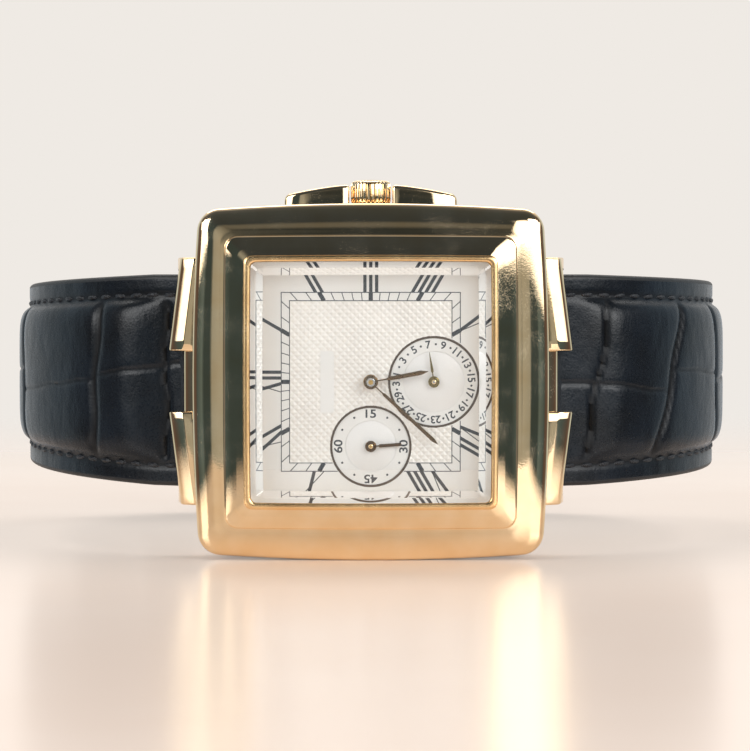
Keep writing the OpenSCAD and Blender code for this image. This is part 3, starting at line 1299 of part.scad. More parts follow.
module buckle_tongue() color(gold) stand() difference() {
    union() {
        translate([-buckle_bar_at, 0, -loop_back_z]) y_bar(buckle_bar_d / 2 + tongue_eye_wall, tongue_w);
        translate([0, tongue_w / 2, 0]) rotate([90, 0, 0]) linear_extrude(tongue_w) polygon([
            [-buckle_bar_at + tongue_eye_wall, -loop_back_z],
            [-buckle_bar_at, -loop_back_z - tongue_root_deep],
            [front_bar_x - tongue_rise_under, tongue_z - tongue_rise_drop],
            [front_bar_x, tongue_z - tongue_t],
            [front_bar_x + tongue_tip, tongue_z - tongue_tip_t],
            [front_bar_x + tongue_tip, tongue_z],
            [front_bar_x - tongue_bend, tongue_z],
            [front_bar_x - tongue_rise, tail_z - tail_t / 2 - tongue_clear]
        ]);
    }
    translate([-buckle_bar_at, 0, -loop_back_z]) y_bar(buckle_bar_d / 2 + run_gap, tongue_w + past);
}

case_middle();
bezel();
crystal();
crystal_seal();
inner_ring();
dial();
hour_hand();
minute_hand();
seconds_hand();
date_hand();
case_back();
back_seal();
back_screws();
movement_ring();
mainplate();
train_bridge();
barrel();
ratchet_wheel();
crown_wheel();
centre_wheel();
cannon_pinion();
minute_wheel();
hour_wheel();
third_wheel();
fourth_wheel();
escape_wheel();
pallet_fork();
balance_wheel();
balance_cock();
hairspring();
date_wheel();
rotor();
rotor_bearing();
crown();
stem();
crown_tube();
crown_seal();
clutch_wheel();
winding_pinion();
spring_bars();
strap_short();
strap_long();
keeper_fixed();
keeper_loose();
buckle_frame();
buckle_tongue();
buckle_bar();
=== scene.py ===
import bpy
from functools import partial
from math import acos, atan2, copysign, cos, degrees, dist, exp, hypot, pi, radians, sin, sqrt
import numpy as np
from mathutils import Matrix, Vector


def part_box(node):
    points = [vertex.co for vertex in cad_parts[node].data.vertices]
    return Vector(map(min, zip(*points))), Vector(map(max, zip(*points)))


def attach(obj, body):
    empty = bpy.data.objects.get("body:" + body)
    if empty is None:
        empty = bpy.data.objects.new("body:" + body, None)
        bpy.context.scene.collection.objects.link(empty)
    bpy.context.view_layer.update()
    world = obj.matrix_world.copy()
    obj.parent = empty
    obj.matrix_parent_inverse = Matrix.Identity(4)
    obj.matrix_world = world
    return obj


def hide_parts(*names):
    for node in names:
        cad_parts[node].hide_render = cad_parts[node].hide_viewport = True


# Automatic wrist watch with a stepped square case, seen from the dial side.
# Lengths in the drawing functions are millimetres on the watch lying on its back:
# x towards 6 o'clock, y towards the crown, z towards the viewer, z = 0 on the case back.

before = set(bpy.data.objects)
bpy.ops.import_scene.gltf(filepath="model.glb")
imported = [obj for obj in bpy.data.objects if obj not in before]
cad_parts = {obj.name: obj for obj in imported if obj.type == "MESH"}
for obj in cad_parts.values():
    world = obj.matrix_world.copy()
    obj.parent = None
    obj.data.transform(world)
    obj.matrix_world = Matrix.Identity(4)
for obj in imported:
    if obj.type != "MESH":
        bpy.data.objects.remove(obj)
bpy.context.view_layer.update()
scene = bpy.context.scene
rng = np.random.default_rng(7)

MM = 0.001
BACKDROP = "#EFEAE4"

# Case and bezel: half widths, heights, and the radii of bowed sides and of corners
CASE_HALF = 17.7
FRAME_HALF = 14.5
RIM_HALF = 12.5
CRYSTAL_HALF = 11.9
BACK_HALF = 14.9
BACK_Z = 0.9
CASE_TOP = 7.6
RIM_TOP = 10.1
SIDE_BOW = 220.0
FLAT_BOW = 900.0
CASE_CORNER = 2.4
FRAME_CORNER = 1.3

# Lugs with their hoods, a notch in the middle and a cheek at each end
LUG_ROOT = 14.9
LUG_HALF = 12.35
NOTCH_HALF = 3.0
NOTCH_REACH = 18.7
HOOD_REACH = 20.2
HOOD_TOP = 6.9
HOOD_FOOT = 4.75
CHEEK = 1.4
CHEEK_AT = (17.3, 3.0)
CHEEK_R = 2.1
BAR_AT = (17.9, 3.0)

CROWN_Z = 4.2
CROWN_Y = 17.75
CROWN_FLUTES = 28
TUBE_HOLE_R = 1.16

# Dial, its track and its two small dials
DIAL_TOP = 6.9
DIAL_STEP = 0.06
PRINT_LIFT = 0.004
PRINT_THICK = 0.012
DATE_AT = (6.26, 0.0)
DATE_R = 4.45
DATE_DISC_R = 3.05
DATE_FIGURES_R = 3.74
SECONDS_AT = (0.0, -6.4)
SECONDS_R = 3.94
SECONDS_DISC_R = 2.55
SECONDS_FIGURES_R = 3.24
SECONDS_DOTS_R = 3.27
RING_LINE_HALF = 0.12
PRINT_GAP = 0.1
HUB_GAP_R = 0.75
SMALL_DIALS = ((DATE_AT, DATE_R), (SECONDS_AT, SECONDS_R))
PANEL_X, PANEL_HALF_X, PANEL_HALF_Y = -4.32, 0.68, 3.08
TRACK_OUT = 8.875
TRACK_IN = 8.05
TRACK_LINE = 0.085
HOUR_BLOCK = 0.42
NUMERAL_IN = 8.92
NUMERAL_OUT = 11.75
NUMERAL_MIDDLE = 10.35
STROKE = 0.32
THIN = 0.09
LETTER_WIDTH = {"I": 0.58, "V": 1.35, "X": 1.35}
# 6 o'clock and 9 o'clock belong to the two small dials
NUMERALS = {0: "XII", 30: "I", 60: "II", 90: "III", 120: "IIII", 150: "V",
            210: "VII", 240: "VIII", 300: "X", 330: "XI"}

# Strap, its keepers and its buckle
STRAP_HALF = 10.65
PAD = 1.0
SCALE_RISE = 0.14
GROOVE_DEPTH = 0.34
STITCH_INSET = 2.05
KEEPER_HALF_Y = 8.95
KEEPER_R = 23.1
KEEPER_HALF_R = 2.5
CORNER_AT = (-13.8, -28.5)
BUCKLE_BAR = (-12.0, -50.5)
FRONT_BAR = (-4.2, -54.75)


def stood(points):
    """Millimetres on the lying watch turned into metres on the standing one."""
    p = np.asarray(points, float).reshape(-1, 3)
    return np.column_stack([p[:, 0], -p[:, 2], p[:, 1]]) * MM


def piece(name, part, finishes, body="watch", crease=32.0, smooth=True, kinds=None, groove=None,
          stands_for=None):
    """A named object from points and faces, riding on a body. Kinds picks one of the finishes for
    each face, and crease is the angle in degrees above which an edge stays sharp."""
    mesh = bpy.data.meshes.new(name)
    mesh.from_pydata(stood(part[0]).tolist(), [], [list(map(int, f)) for f in part[1]])
    for material in finishes if isinstance(finishes, list) else [finishes]:
        mesh.materials.append(material)
    if kinds is not None:
        mesh.polygons.foreach_set("material_index", np.asarray(kinds, dtype=np.int32))
    if groove is not None:
        layer = mesh.attributes.new("groove", "FLOAT", "POINT")
        layer.data.foreach_set("value", np.asarray(groove, dtype=np.float32))
    mesh.polygons.foreach_set("use_smooth", [smooth] * len(mesh.polygons))
    mesh.update()
    if smooth:
        mesh.set_sharp_from_angle(angle=radians(crease))
    obj = bpy.data.objects.new(name, mesh)
    scene.collection.objects.link(obj)
    if body:
        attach(obj, body)
    if stands_for:
        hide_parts(stands_for)
    return obj


def loft(rings, round_trip=False):
    """Quads between rings of equal length, closed by caps or by a way back to the first ring.
    The rings turn anticlockwise seen from the last one."""
    rings = np.asarray(rings, float)
    m, n = rings.shape[:2]
    faces = []
    for i in range(m if round_trip else m - 1):
        a, b = i * n, ((i + 1) % m) * n
        faces += [(a + k, a + (k + 1) % n, b + (k + 1) % n, b + k) for k in range(n)]
    if not round_trip:
        faces.append(tuple(range(n - 1, -1, -1)))
        faces.append(tuple(range((m - 1) * n, m * n)))
    return rings.reshape(-1, 3), faces


def joined(parts):
    """One set of points and faces from several."""
    points, faces, start = [], [], 0
    for p, f in parts:
        p = np.asarray(p, float).reshape(-1, 3)
        points.append(p)
        faces += [tuple(k + start for k in face) for face in f]
        start += len(p)
    return np.vstack(points), faces


def turned_over(part):
    """The same points and faces, with the faces looking the other way."""
    return part[0], [tuple(reversed(f)) for f in part[1]]


def mirrored(part):
    """The image of a part on the 12 o'clock side."""
    return turned_over((np.asarray(part[0], float) * (-1, 1, 1), part[1]))


def softened(levels, reach, steps=3):
    """A profile with corners turned into small curves; the first two numbers are its plane."""
    levels = [np.array(v, float) for v in levels]
    out = [levels[0]]
    for before, here, after in zip(levels, levels[1:], levels[2:]):
        da = np.linalg.norm((before - here)[:2])
        db = np.linalg.norm((after - here)[:2])
        a = here + (before - here) * min(reach / da, 0.4)
        b = here + (after - here) * min(reach / db, 0.4)
        for k in range(steps + 1):
            t = k / steps
            out.append((1 - t) ** 2 * a + 2 * t * (1 - t) * here + t * t * b)
    out.append(levels[-1])
    return out


def bowed(half, bow, corner, side_n=26, corner_n=10):
    """Square outline with bowed sides of one radius and round corners."""
    a = ((half - bow) + sqrt(2 * (bow - corner) ** 2 - (half - bow) ** 2)) / 2
    turn = atan2(a, a - (half - bow))
    t = np.linspace(-turn, turn, side_n, endpoint=False)
    u = np.linspace(turn, pi / 2 - turn, corner_n, endpoint=False)
    x = np.concatenate([half - bow + bow * np.cos(t), a + corner * np.cos(u)])
    y = np.concatenate([bow * np.sin(t), a + corner * np.sin(u)])
    return np.vstack([np.column_stack([x * c - y * s, x * s + y * c])
                      for c, s in ((1, 0), (0, 1), (-1, 0), (0, -1))])


def at_height(outline, z):
    """A flat outline lifted to a height."""
    return np.column_stack([outline, np.full(len(outline), z)])


def bowed_rings(levels):
    """Rings from levels of height, half width, bow radius and corner radius."""
    return [at_height(bowed(half, bow, corner), z) for z, half, bow, corner in levels]


def prism(outline, z0, z1):
    return loft([at_height(outline, z0), at_height(outline, z1)])


def circle(n):
    return np.linspace(0, 2 * pi, n, endpoint=False)


def turned(profile, centre, n):
    """Ring-shaped body turned round an upright axis, from (height, radius) pairs."""
    t = circle(n)
    rings = [at_height(np.column_stack([centre[0] + r * np.cos(t), centre[1] + r * np.sin(t)]), z)
             for z, r in profile]
    return loft(rings, round_trip=True)


def rings_along_y(profile, centre, n):
    """Circles round an axis along y, from (y, radius) pairs; the centre is given in x and z."""
    t = circle(n)
    return [np.column_stack([centre[0] + r * np.cos(t), np.full(n, y), centre[1] + r * np.sin(t)])
            for y, r in profile]


def eased(u):
    u = np.clip(u, 0, 1)
    return u * u * (3 - 2 * u)


def rise(s, a, b):
    """From 0 at a to 1 at b."""
    return float(np.clip((s - a) / (b - a), 0, 1))


def srgb(hex_colour):
    """A hex colour turned into linear values."""
    c = [int(hex_colour[i:i + 2], 16) / 255 for i in (1, 3, 5)]
    return tuple(v / 12.92 if v <= 0.04045 else ((v + 0.055) / 1.055) ** 2.4 for v in c) + (1.0,)


def add(tree, kind, *inputs, stops=None, **named):
    """One node. Values, hex colours or links go to its inputs, by place or by a name with a
    capital; other names are its settings, and stops those of a ramp. A link is a socket, or a
    node for its first output."""
    node = tree.nodes.new("ShaderNode" + kind)
    sockets = dict(enumerate(inputs))
    for key, value in named.items():
        if key[0].isupper():
            sockets[key.replace("_", " ")] = value
        else:
            setattr(node, key, value)
    for key, value in sockets.items():
        if isinstance(value, bpy.types.Node):
            value = value.outputs[0]
        if isinstance(value, bpy.types.NodeSocket):
            tree.links.new(value, node.inputs[key])
        else:
            node.inputs[key].default_value = srgb(value) if isinstance(value, str) else value
    if stops:
        ends = node.color_ramp.elements
        while len(ends) < len(stops):
            ends.new(0.5)
        for end, (place, level) in zip(ends, stops):
            end.position = place
            end.color = srgb(level) if isinstance(level, str) else (level, level, level, 1.0)
    return node


def finish(name):
    """A new finish: its material, what adds its nodes, and object coordinates in millimetres."""
    m = bpy.data.materials.new(name)
    m.use_nodes = True
    m.node_tree.nodes.clear()
    node = partial(add, m.node_tree)
    where = node("TexCoord").outputs["Object"]
    return m, node, node("VectorMath", where, Scale=1 / MM, operation="SCALE")


def surfaced(m, **inputs):
    """The finish with a surface of these inputs."""
    add(m.node_tree, "OutputMaterial", Surface=add(m.node_tree, "BsdfPrincipled", **inputs))
    return m


def polished_gold(name, low, high, wear, rough):
    """Buffed gold plate with cloudy wipe marks, fine scratches and specks of dust."""
    m, node, mm = finish(name)
    wipe = node("TexNoise", Vector=mm, Scale=0.3, Detail=3.0)
    speck = node("TexNoise", Vector=mm, Scale=6.0, Detail=5.0)
    grain = node("TexNoise", Vector=mm, Scale=13.0, Detail=2.0)
    drawn = node("VectorMath", mm, (0.5, 4.0, 4.0), operation="MULTIPLY")
    hairs = node("TexNoise", Vector=drawn, Scale=2.0, Detail=2.0)
    dusty = node("Math", wipe, speck, operation="MULTIPLY")
    smooth = node("ValToRGB", dusty, stops=[(0.2, rough), (0.4, rough + 0.06 * wear)])
    grains = node("ValToRGB", grain, stops=[(0.56, 0.0), (0.7, 0.16 * wear)])
    patches = node("ValToRGB", wipe, stops=[(0.45, 0.0), (0.62, 1.0)])
    grit = node("Math", grains, patches, operation="MULTIPLY")
    uneven = node("Bump", Height=hairs, Distance=0.0002 * wear * MM)
    return surfaced(
        m, Metallic=1.0,
        Base_Color=node("ValToRGB", wipe, stops=[(0.3, low), (0.7, high)]),
        Roughness=node("Math", smooth, grit, operation="ADD"),
        Normal=node("Bump", Height=speck, Distance=0.0008 * wear * MM, Normal=uneven))


def grained(name, low, high, rough, spread, depth, per_mm, detail, metallic=1.0, drawn=None,
            cloud=None):
    """A finish with one fine grain. It sways the colour from low to high and the roughness by
    spread, and stands up by depth. It may be drawn out along an axis, and a cloud may sway the
    colour with it."""
    m, node, mm = finish(name)
    place = node("VectorMath", mm, drawn, operation="MULTIPLY") if drawn else mm
    grain = node("TexNoise", Vector=place, Scale=per_mm, Detail=detail)
    tone, stops = grain, [(0.3, low), (0.7, high)]
    if cloud:
        stain = node("TexNoise", Vector=mm, Scale=cloud, Detail=detail)
        both = node("Math", grain, stain, operation="ADD")
        tone = node("Math", both, 0.5, operation="MULTIPLY")
        stops = [(0.35, low), (0.65, high)]
    return surfaced(
        m, Metallic=metallic,
        Base_Color=node("ValToRGB", tone, stops=stops),
        Roughness=node("ValToRGB", grain, stops=[(0.3, rough), (0.7, rough + spread)]),
        Normal=node("Bump", Height=grain, Distance=depth * MM))


def sapphire(name):
    """Clear hard glass with a faint smear. Light for the dial goes straight through it, as real
    light does, and only sight lines are bent."""
    m, node, mm = finish(name)
    smear = node("TexNoise", Vector=mm, Scale=0.6, Detail=3.0)
    rough = node("ValToRGB", smear, stops=[(0.45, 0.0), (0.75, 0.015)])
    glass = node("BsdfGlass", Color=(0.99, 1.0, 1.0, 1.0), Roughness=rough, IOR=1.77)
    clear = node("BsdfTransparent", Color=(0.97, 0.97, 0.97, 1.0))
    path = node("LightPath").outputs
    through = node("Math", path["Is Shadow Ray"], path["Is Diffuse Ray"], operation="MAXIMUM")
    both = node("MixShader", through, glass, clear)
    node("OutputMaterial", Surface=both)
    return m


def scaled_leather(name):
    """Glazed leather pressed into scales: glossier on the scales, duller in the grooves and painted
    black there as painted shade.
    """
    m, node, mm = finish(name)
    groove = node("Attribute", attribute_name="groove").outputs["Fac"]
    pores = node("TexVoronoi", Vector=mm, Scale=4.2, Randomness=1.0)
    fine = node("TexNoise", Vector=mm, Scale=5.0, Detail=4.0)
    cloud = node("TexNoise", Vector=mm, Scale=0.16, Detail=4.0)
    drawn = node("VectorMath", mm, (1.0, 1.0, 0.6), operation="MULTIPLY")
    crease = node("TexNoise", Vector=drawn, Scale=0.4, Detail=4.0)
    base = node("ValToRGB", cloud, stops=[(0.3, "#070C11"), (0.7, "#121B24")])
    dull = node("Math", groove, 0.2, operation="MULTIPLY")
    shine = node("ValToRGB", fine, stops=[(0.3, 0.24), (0.75, 0.36)])
    soft = node("Bump", Height=crease, Distance=0.22 * MM, Strength=0.6)
    pored = node("Bump", Height=pores, Distance=0.012 * MM, Strength=0.6, Normal=soft)
    return surfaced(
        # Grooves and the channel under the stitches are painted near black: painted shade in the
        # recesses
        m, Base_Color=node("MixRGB", groove, base, "#050608"),
        Roughness=node("Math", shine, dull, operation="ADD"),
        Specular_IOR_Level=0.28, Sheen_Weight=0.4, Sheen_Roughness=0.24,
        Sheen_Tint="#7FA8C6",
        Normal=node("Bump", Height=fine, Distance=0.014 * MM, Strength=0.7, Normal=pored))


def plain_leather(name, low, high, rough, depth):
    """Smooth leather with small pores."""
    m, node, mm = finish(name)
    pores = node("TexVoronoi", Vector=mm, Scale=4.5, Randomness=1.0)
    cloud = node("TexNoise", Vector=mm, Scale=0.5, Detail=4.0)
    fine = node("TexNoise", Vector=mm, Scale=8.0, Detail=3.0)
    pored = node("Bump", Height=pores, Distance=depth * MM)
    return surfaced(
        m, Base_Color=node("ValToRGB", cloud, stops=[(0.3, low), (0.7, high)]),
        Roughness=node("ValToRGB", fine, stops=[(0.3, rough), (0.7, rough + 0.15)]),
        Normal=node("Bump", Height=fine, Distance=depth * 0.6 * MM, Strength=0.8, Normal=pored))


def twisted_thread(name):
    """Thread whose twist shows as fine slanting ribs on every stitch, with painted highlight on the
    ribs and painted shade between them.
    """
    m, node, mm = finish(name)
    twist = node("TexWave", Vector=mm, Scale=2.4, Distortion=1.0,
                bands_direction="DIAGONAL").outputs["Fac"]
    return surfaced(
        # Colour follows the ribs: painted shade in the hollows, painted highlight on the crests
        m, Base_Color=node("ValToRGB", twist, stops=[(0.2, "#0C0E12"), (0.8, "#23272E")]),
        Roughness=0.45,
        Normal=node("Bump", Height=twist, Distance=0.03 * MM))


# Gold-plated steel, buffed to a mirror: a pale champagne yellow that shows mostly its
# surroundings. The bead round the crystal is left satin, so it catches light on all sides.
case_gold = polished_gold("case_gold", "#F2D3A6", "#F9E1BB", 1.0, 0.012)
rim_gold = polished_gold("rim_gold", "#EFC48C", "#F6D29D", 0.5, 0.22)
# Gilt hands, small and smooth. They reflect the dim side of the room, and that dark brown look is
# also painted into their colour: a painted reflection
hand_gilt_painted_dark, seconds_gilt_painted_dark, date_gilt_painted_dark = (
    grained(name, low, high, rough=0.07, spread=0.06, depth=0.0006, per_mm=14.0, detail=2.0)
    for name, low, high in (("hand_gilt_painted_dark", "#57452F", "#715A3C"),
                            ("seconds_gilt_painted_dark", "#4B3418", "#5C421F"),
                            ("date_gilt_painted_dark", "#6A5C31", "#837343")))
# Movement parts: polished steel, nickel-plated brass, bare brass and heat-blued spring steel,
# all with the faint lines of drawing or brushing along one axis
steel, plate_metal, brass, blued = (
    grained(name, low, high, rough, spread=0.12, depth=0.003, per_mm=3.0, detail=3.0,
            drawn=along, cloud=0.4)
    for name, low, high, rough, along in (
        ("polished_steel", "#A9ABAE", "#C9CBCD", 0.16, (1.0, 1.0, 6.0)),
        ("nickel_plate", "#B4B2AC", "#CFCDC6", 0.3, (0.2, 4.0, 4.0)),
        ("gilt_brass", "#B8924E", "#D4B06A", 0.24, (4.0, 4.0, 0.4)),
        ("blued_spring", "#1C2A5A", "#2C3F7C", 0.22, (1.0, 6.0, 1.0))))
# Silvered dial: matt galvanic silver under clear lacquer, nearly white with a faint soft sheen.
# The engine-turned ground and the discs of the small dials are cut bright and shine a little more.
dial_silver, guilloche_silver, disc_silver = (
    grained(name, low, high, rough, spread=0.1, depth=0.0012, per_mm=22.0, detail=2.0,
            metallic=metallic, cloud=0.25)
    for name, low, high, rough, metallic in (
        ("dial_silver", "#E9E8E4", "#F1F0ED", 0.36, 0.06),
        ("guilloche_silver", "#E9E5DF", "#F4F1EB", 0.26, 0.16),
        ("disc_silver", "#EBEAE7", "#F4F3F1", 0.3, 0.12)))
# Pad-printed ink: blue-black or brown, a little raised, with a slightly uneven density
numeral_ink, track_ink, ring_ink = (
    grained(name, low, high, rough=0.32, spread=0.0, depth=0.002, per_mm=12.0, detail=2.0,
            metallic=0.0)
    for name, low, high in (("numeral_ink", "#1D242C", "#2E3842"),
                            ("track_ink", "#2E363F", "#424C56"),
                            ("ring_ink", "#3A2C20", "#52402F")))
# Seals: matt black rubber, and white plastic with a dull gloss
rubber, seal_white = (
    grained(name, low, high, rough, spread=0.1, depth=0.004, per_mm=6.0, detail=3.0, metallic=0.0)
    for name, low, high, rough in (("seal_rubber", "#0D0D0D", "#181818", 0.55),
                                   ("seal_plastic", "#DEDDD6", "#ECEBE5", 0.38)))
crystal_glass = sapphire("crystal_sapphire")
# Navy glazed strap leather, its glossy scales broken by black grooves; matt calf for the lining,
# a closer one for the keepers, and smooth paint on the cut edges
strap_leather = scaled_leather("strap_leather")
lining_leather = plain_leather("lining_leather", "#1B1918", "#292623", rough=0.5, depth=0.02)
edge_paint = plain_leather("edge_paint", "#0E0F11", "#17191C", rough=0.4, depth=0.008)
keeper_leather = plain_leather("keeper_leather", "#14171B", "#20252B", rough=0.33, depth=0.018)
# Waxed polyester thread: dark, with a dull gloss, and a painted highlight on its ribs
thread = twisted_thread("strap_thread")

CAD_FINISHES = (
    (case_gold, "case_back crown_tube"),
    (rim_gold, "inner_ring"),
    (dial_silver, "dial"),
    (seal_white, "crystal_seal"),
    (rubber, "back_seal crown_seal"),
    (blued, "hairspring"),
    (steel, "back_screws ratchet_wheel crown_wheel cannon_pinion escape_wheel pallet_fork "
            "date_wheel rotor_bearing stem clutch_wheel winding_pinion spring_bars buckle_bar"),
    (plate_metal, "movement_ring mainplate train_bridge balance_cock"),
    (brass, "barrel centre_wheel minute_wheel hour_wheel third_wheel fourth_wheel balance_wheel "
            "rotor"),
)
for material, node_names in CAD_FINISHES:
    for node_name in node_names.split():
        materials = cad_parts[node_name].data.materials
        materials.clear()
        materials.append(material)


def bezel():
    """The stepped cushion, the frame and the bead round the crystal."""
    foot = [(z, half, SIDE_BOW, CASE_CORNER)
            for z, half in ((CASE_TOP, 17.62), (7.7, CASE_HALF), (8.05, CASE_HALF))]
    cushion = []
    for k in range(1, 15):
        u = k / 14
        t = radians(90 * u)
        cushion.append((8.05 + 1.1 * sin(t), CASE_HALF - 3.08 * (1 - cos(t)),
                        SIDE_BOW + (FLAT_BOW - SIDE_BOW) * u ** 3,
                        CASE_CORNER + (FRAME_CORNER - CASE_CORNER) * u))
    top = [(z, half, FLAT_BOW, corner) for z, half, corner in (
        (9.16, FRAME_HALF + 0.02, FRAME_CORNER), (9.38, FRAME_HALF, FRAME_CORNER),
        (9.5, FRAME_HALF - 0.12, 1.25), (9.78, 13.3, 1.0), (9.9, RIM_HALF + 0.16, 0.85),
        (9.92, RIM_HALF + 0.05, 0.8), (10.04, RIM_HALF + 0.04, 0.8),
        (RIM_TOP - 0.01, RIM_HALF - 0.08, 0.76), (RIM_TOP + 0.02, RIM_HALF - 0.2, 0.72),
        (RIM_TOP + 0.01, CRYSTAL_HALF + 0.2, 0.68), (RIM_TOP - 0.04, CRYSTAL_HALF + 0.08, 0.62),
        (RIM_TOP - 0.1, CRYSTAL_HALF + 0.05, 0.6))]
    inside = [(9.86, CRYSTAL_HALF + 0.05, FLAT_BOW, 0.6), (9.86, RIM_HALF, FLAT_BOW, 0.8),
              (CASE_TOP, RIM_HALF, FLAT_BOW, 0.8)]
    levels = foot + cushion[:-1] + softened([cushion[-1]] + top, 0.05) + inside
    rings = bowed_rings(levels)
    satin = [int(9.91 < level[0] and level[1] < RIM_HALF + 0.1) for level in levels]
    piece("bezel_polished", loft(rings, round_trip=True), [case_gold, rim_gold], crease=40,
          kinds=np.repeat(satin, len(rings[0])), stands_for="bezel")


def lug(sign):
    """One lug, lofted across the strap: hoods with a flat top and a broad slope outside, and
    soft edges all round."""
    slope = ((1.55, 0.0), (1.42, 0.02), (1.3, 0.07), (0.45, 0.52), (0.3, 0.62), (0.14, 0.78),
             (0.04, 0.97), (0.0, 1.2))

    def section(y, inset):
        outward = (abs(y) - NOTCH_HALF) / (LUG_HALF - NOTCH_HALF)
        reach = (HOOD_REACH - 1.2 * outward if outward >= 0 else NOTCH_REACH) - inset
        top, foot = HOOD_TOP - inset, HOOD_FOOT + inset
        points = [(LUG_ROOT, foot), (LUG_ROOT, top)]
        points += [(reach - back, top - down) for back, down in slope]
        points += [(reach, foot + 0.2), (reach - 0.15, foot)]
        return [(sign * x, y, z) for x, z in points]

    edge = ((0.0, 0.22), (0.03, 0.12), (0.1, 0.03), (0.2, 0.0))
    parts = []
    for y0, y1 in ((-LUG_HALF, -NOTCH_HALF), (NOTCH_HALF, LUG_HALF)):
        stations = [(y0 + d, inset) for d, inset in edge]
        stations += [(y0 + (y1 - y0) * k / 8, 0.0) for k in range(1, 8)]
        stations += [(y1 - d, inset) for d, inset in reversed(edge)]
        parts.append(loft([section(y, inset) for y, inset in stations]))
    inner = NOTCH_HALF - 0.01
    parts.append(loft([section(y, 0.0) for y in np.linspace(-inner, inner, 5)]))
    # Cheeks beside the strap end, rounded about the spring bar
    for y0, y1 in ((-LUG_HALF, -LUG_HALF + CHEEK), (LUG_HALF - CHEEK, LUG_HALF)):
        rings = []
        for y, inset in ((y0, 0.16), (y0 + 0.05, 0.05), (y0 + 0.16, 0.0),
                         (y1 - 0.16, 0.0), (y1 - 0.05, 0.05), (y1, 0.16)):
            outline = [(LUG_ROOT, 0.95 + inset), (LUG_ROOT, 5.4), (18.6, 5.4), (19.0 - inset, 5.0)]
            for k in range(13):
                t, r = radians(20 - 9.2 * k), CHEEK_R - inset
                outline.append((CHEEK_AT[0] + r * cos(t), CHEEK_AT[1] + r * sin(t)))
            rings.append([(sign * x, y, z) for x, z in outline])
        parts.append(loft(rings))
    return joined(parts)


def crown_guard():
    """One wedge beside the crown: high next to it, lower at the outer end, edges softened."""
    rounding = 0.4
    stations = [(2.15, 1.68, 0.2), (2.2, 1.76, 0.1), (2.3, 1.84, 0.03), (2.45, 1.87, 0.0)]
    stations += [(2.45 + 5.65 * k / 10, 1.88 - 0.88 * (k / 10) ** 1.35, 0.0) for k in range(1, 11)]
    stations += [(8.35, 0.84, 0.0), (8.5, 0.66, 0.02), (8.58, 0.45, 0.12)]
    rings = []
    for x, up, inset in stations:
        top = CASE_HALF + up
        # The front face curves back towards the outer end
        z0, z1 = 1.9 + inset, 6.5 - inset - 0.5 * rise(x, 6.3, 8.6) ** 2
        ring = [(x, CASE_HALF - 3, z0), (x, top - rounding, z0)]
        for z, first, start, side in ((z0, 1, -90, 1), (z1, 0, 0, -1)):
            for k in range(first, 7):
                t = radians(start + 15 * k)
                ring.append((x, top + rounding * (cos(t) - 1),
                             z + rounding * (sin(t) + side)))
        ring.append((x, CASE_HALF - 3, z1))
        rings.append(ring[::-1])
    return loft(rings)


def carve(obj, hole, inside, crease):
    """Cuts a closed form out of an object and marks the sharp edges again."""
    cutter = piece("hole", hole, inside, body=None)
    cut = obj.modifiers.new("cut", "BOOLEAN")
    cut.operation = "DIFFERENCE"
    cut.solver = "EXACT"
    cut.use_self = True
    cut.object = cutter
    bpy.context.view_layer.update()
    depsgraph = bpy.context.evaluated_depsgraph_get()
    result = bpy.data.meshes.new_from_object(obj.evaluated_get(depsgraph))
    obj.modifiers.clear()
    obj.data = result
    result.set_sharp_from_angle(angle=radians(crease))
    bpy.data.objects.remove(cutter)


def case_middle():
    outer = [(z, half, SIDE_BOW, CASE_CORNER) for z, half in (
        (BACK_Z, 16.0), (BACK_Z, 16.2), (2.3, 17.15), (3.5, 17.5), (7.48, 17.5), (CASE_TOP, 17.4))]
    outer = softened(outer + [(CASE_TOP, 12.6, FLAT_BOW, 0.8)], 0.1)
    inner = [(6.4, 12.6, FLAT_BOW, 0.8), (6.4, BACK_HALF + 0.05, FLAT_BOW, 1.6),
             (BACK_Z, BACK_HALF + 0.05, FLAT_BOW, 2.4)]
    band = loft(bowed_rings(outer + inner), round_trip=True)
    guard = crown_guard()
    form = joined([band, lug(1), mirrored(lug(1)), guard, mirrored(guard)])
    obj = piece("case_middle_polished", form, case_gold, crease=38,
                stands_for="case_middle")
    tube = rings_along_y([(20.5, TUBE_HOLE_R), (13.0, TUBE_HOLE_R)], (0.0, CROWN_Z), 48)
    carve(obj, loft(tube), case_gold, 38)


def crown():
    n = CROWN_FLUTES * 14
    rib = 0.5 - 0.5 * np.cos(CROWN_FLUTES * circle(n))
    rib = np.clip(rib * 1.9, 0, 1) ** 0.8
    # Height, radius and how deep the flutes are there; then the dished end and the bore
    outside = ((0.0, 1.84, 0.0), (0.05, 1.93, 0.6), (0.2, 1.99, 1.0), (0.6, 2.0, 1.0),
               (1.2, 2.0, 1.0), (1.85, 2.0, 1.0), (1.98, 1.96, 1.0), (2.1, 1.87, 0.9),
               (2.2, 1.72, 0.7), (2.26, 1.5, 0.35), (2.3, 1.3, 0.1), (2.33, 1.05, 0.0),
               (2.35, 0.6, 0.0), (2.35, 0.08, 0.0))
    profile = [(CROWN_Y + h, r - 0.16 * depth * (1 - rib)) for h, r, depth in outside]
    profile += [(CROWN_Y + h, r) for h, r in
                ((1.95, 0.08), (1.95, 0.52), (1.16, 0.52), (1.16, 1.22), (0.0, 1.22))]
    rings = rings_along_y(profile, (0.0, CROWN_Z), n)
    piece("crown_fluted", loft(rings[::-1], round_trip=True), case_gold, body="crown_and_stem",
          crease=45, stands_for="crown")


def hour_direction(angle):
    """Unit direction of a dial angle in degrees, clockwise from 12 o'clock."""
    a = radians(angle)
    return np.array([-cos(a), sin(a)])


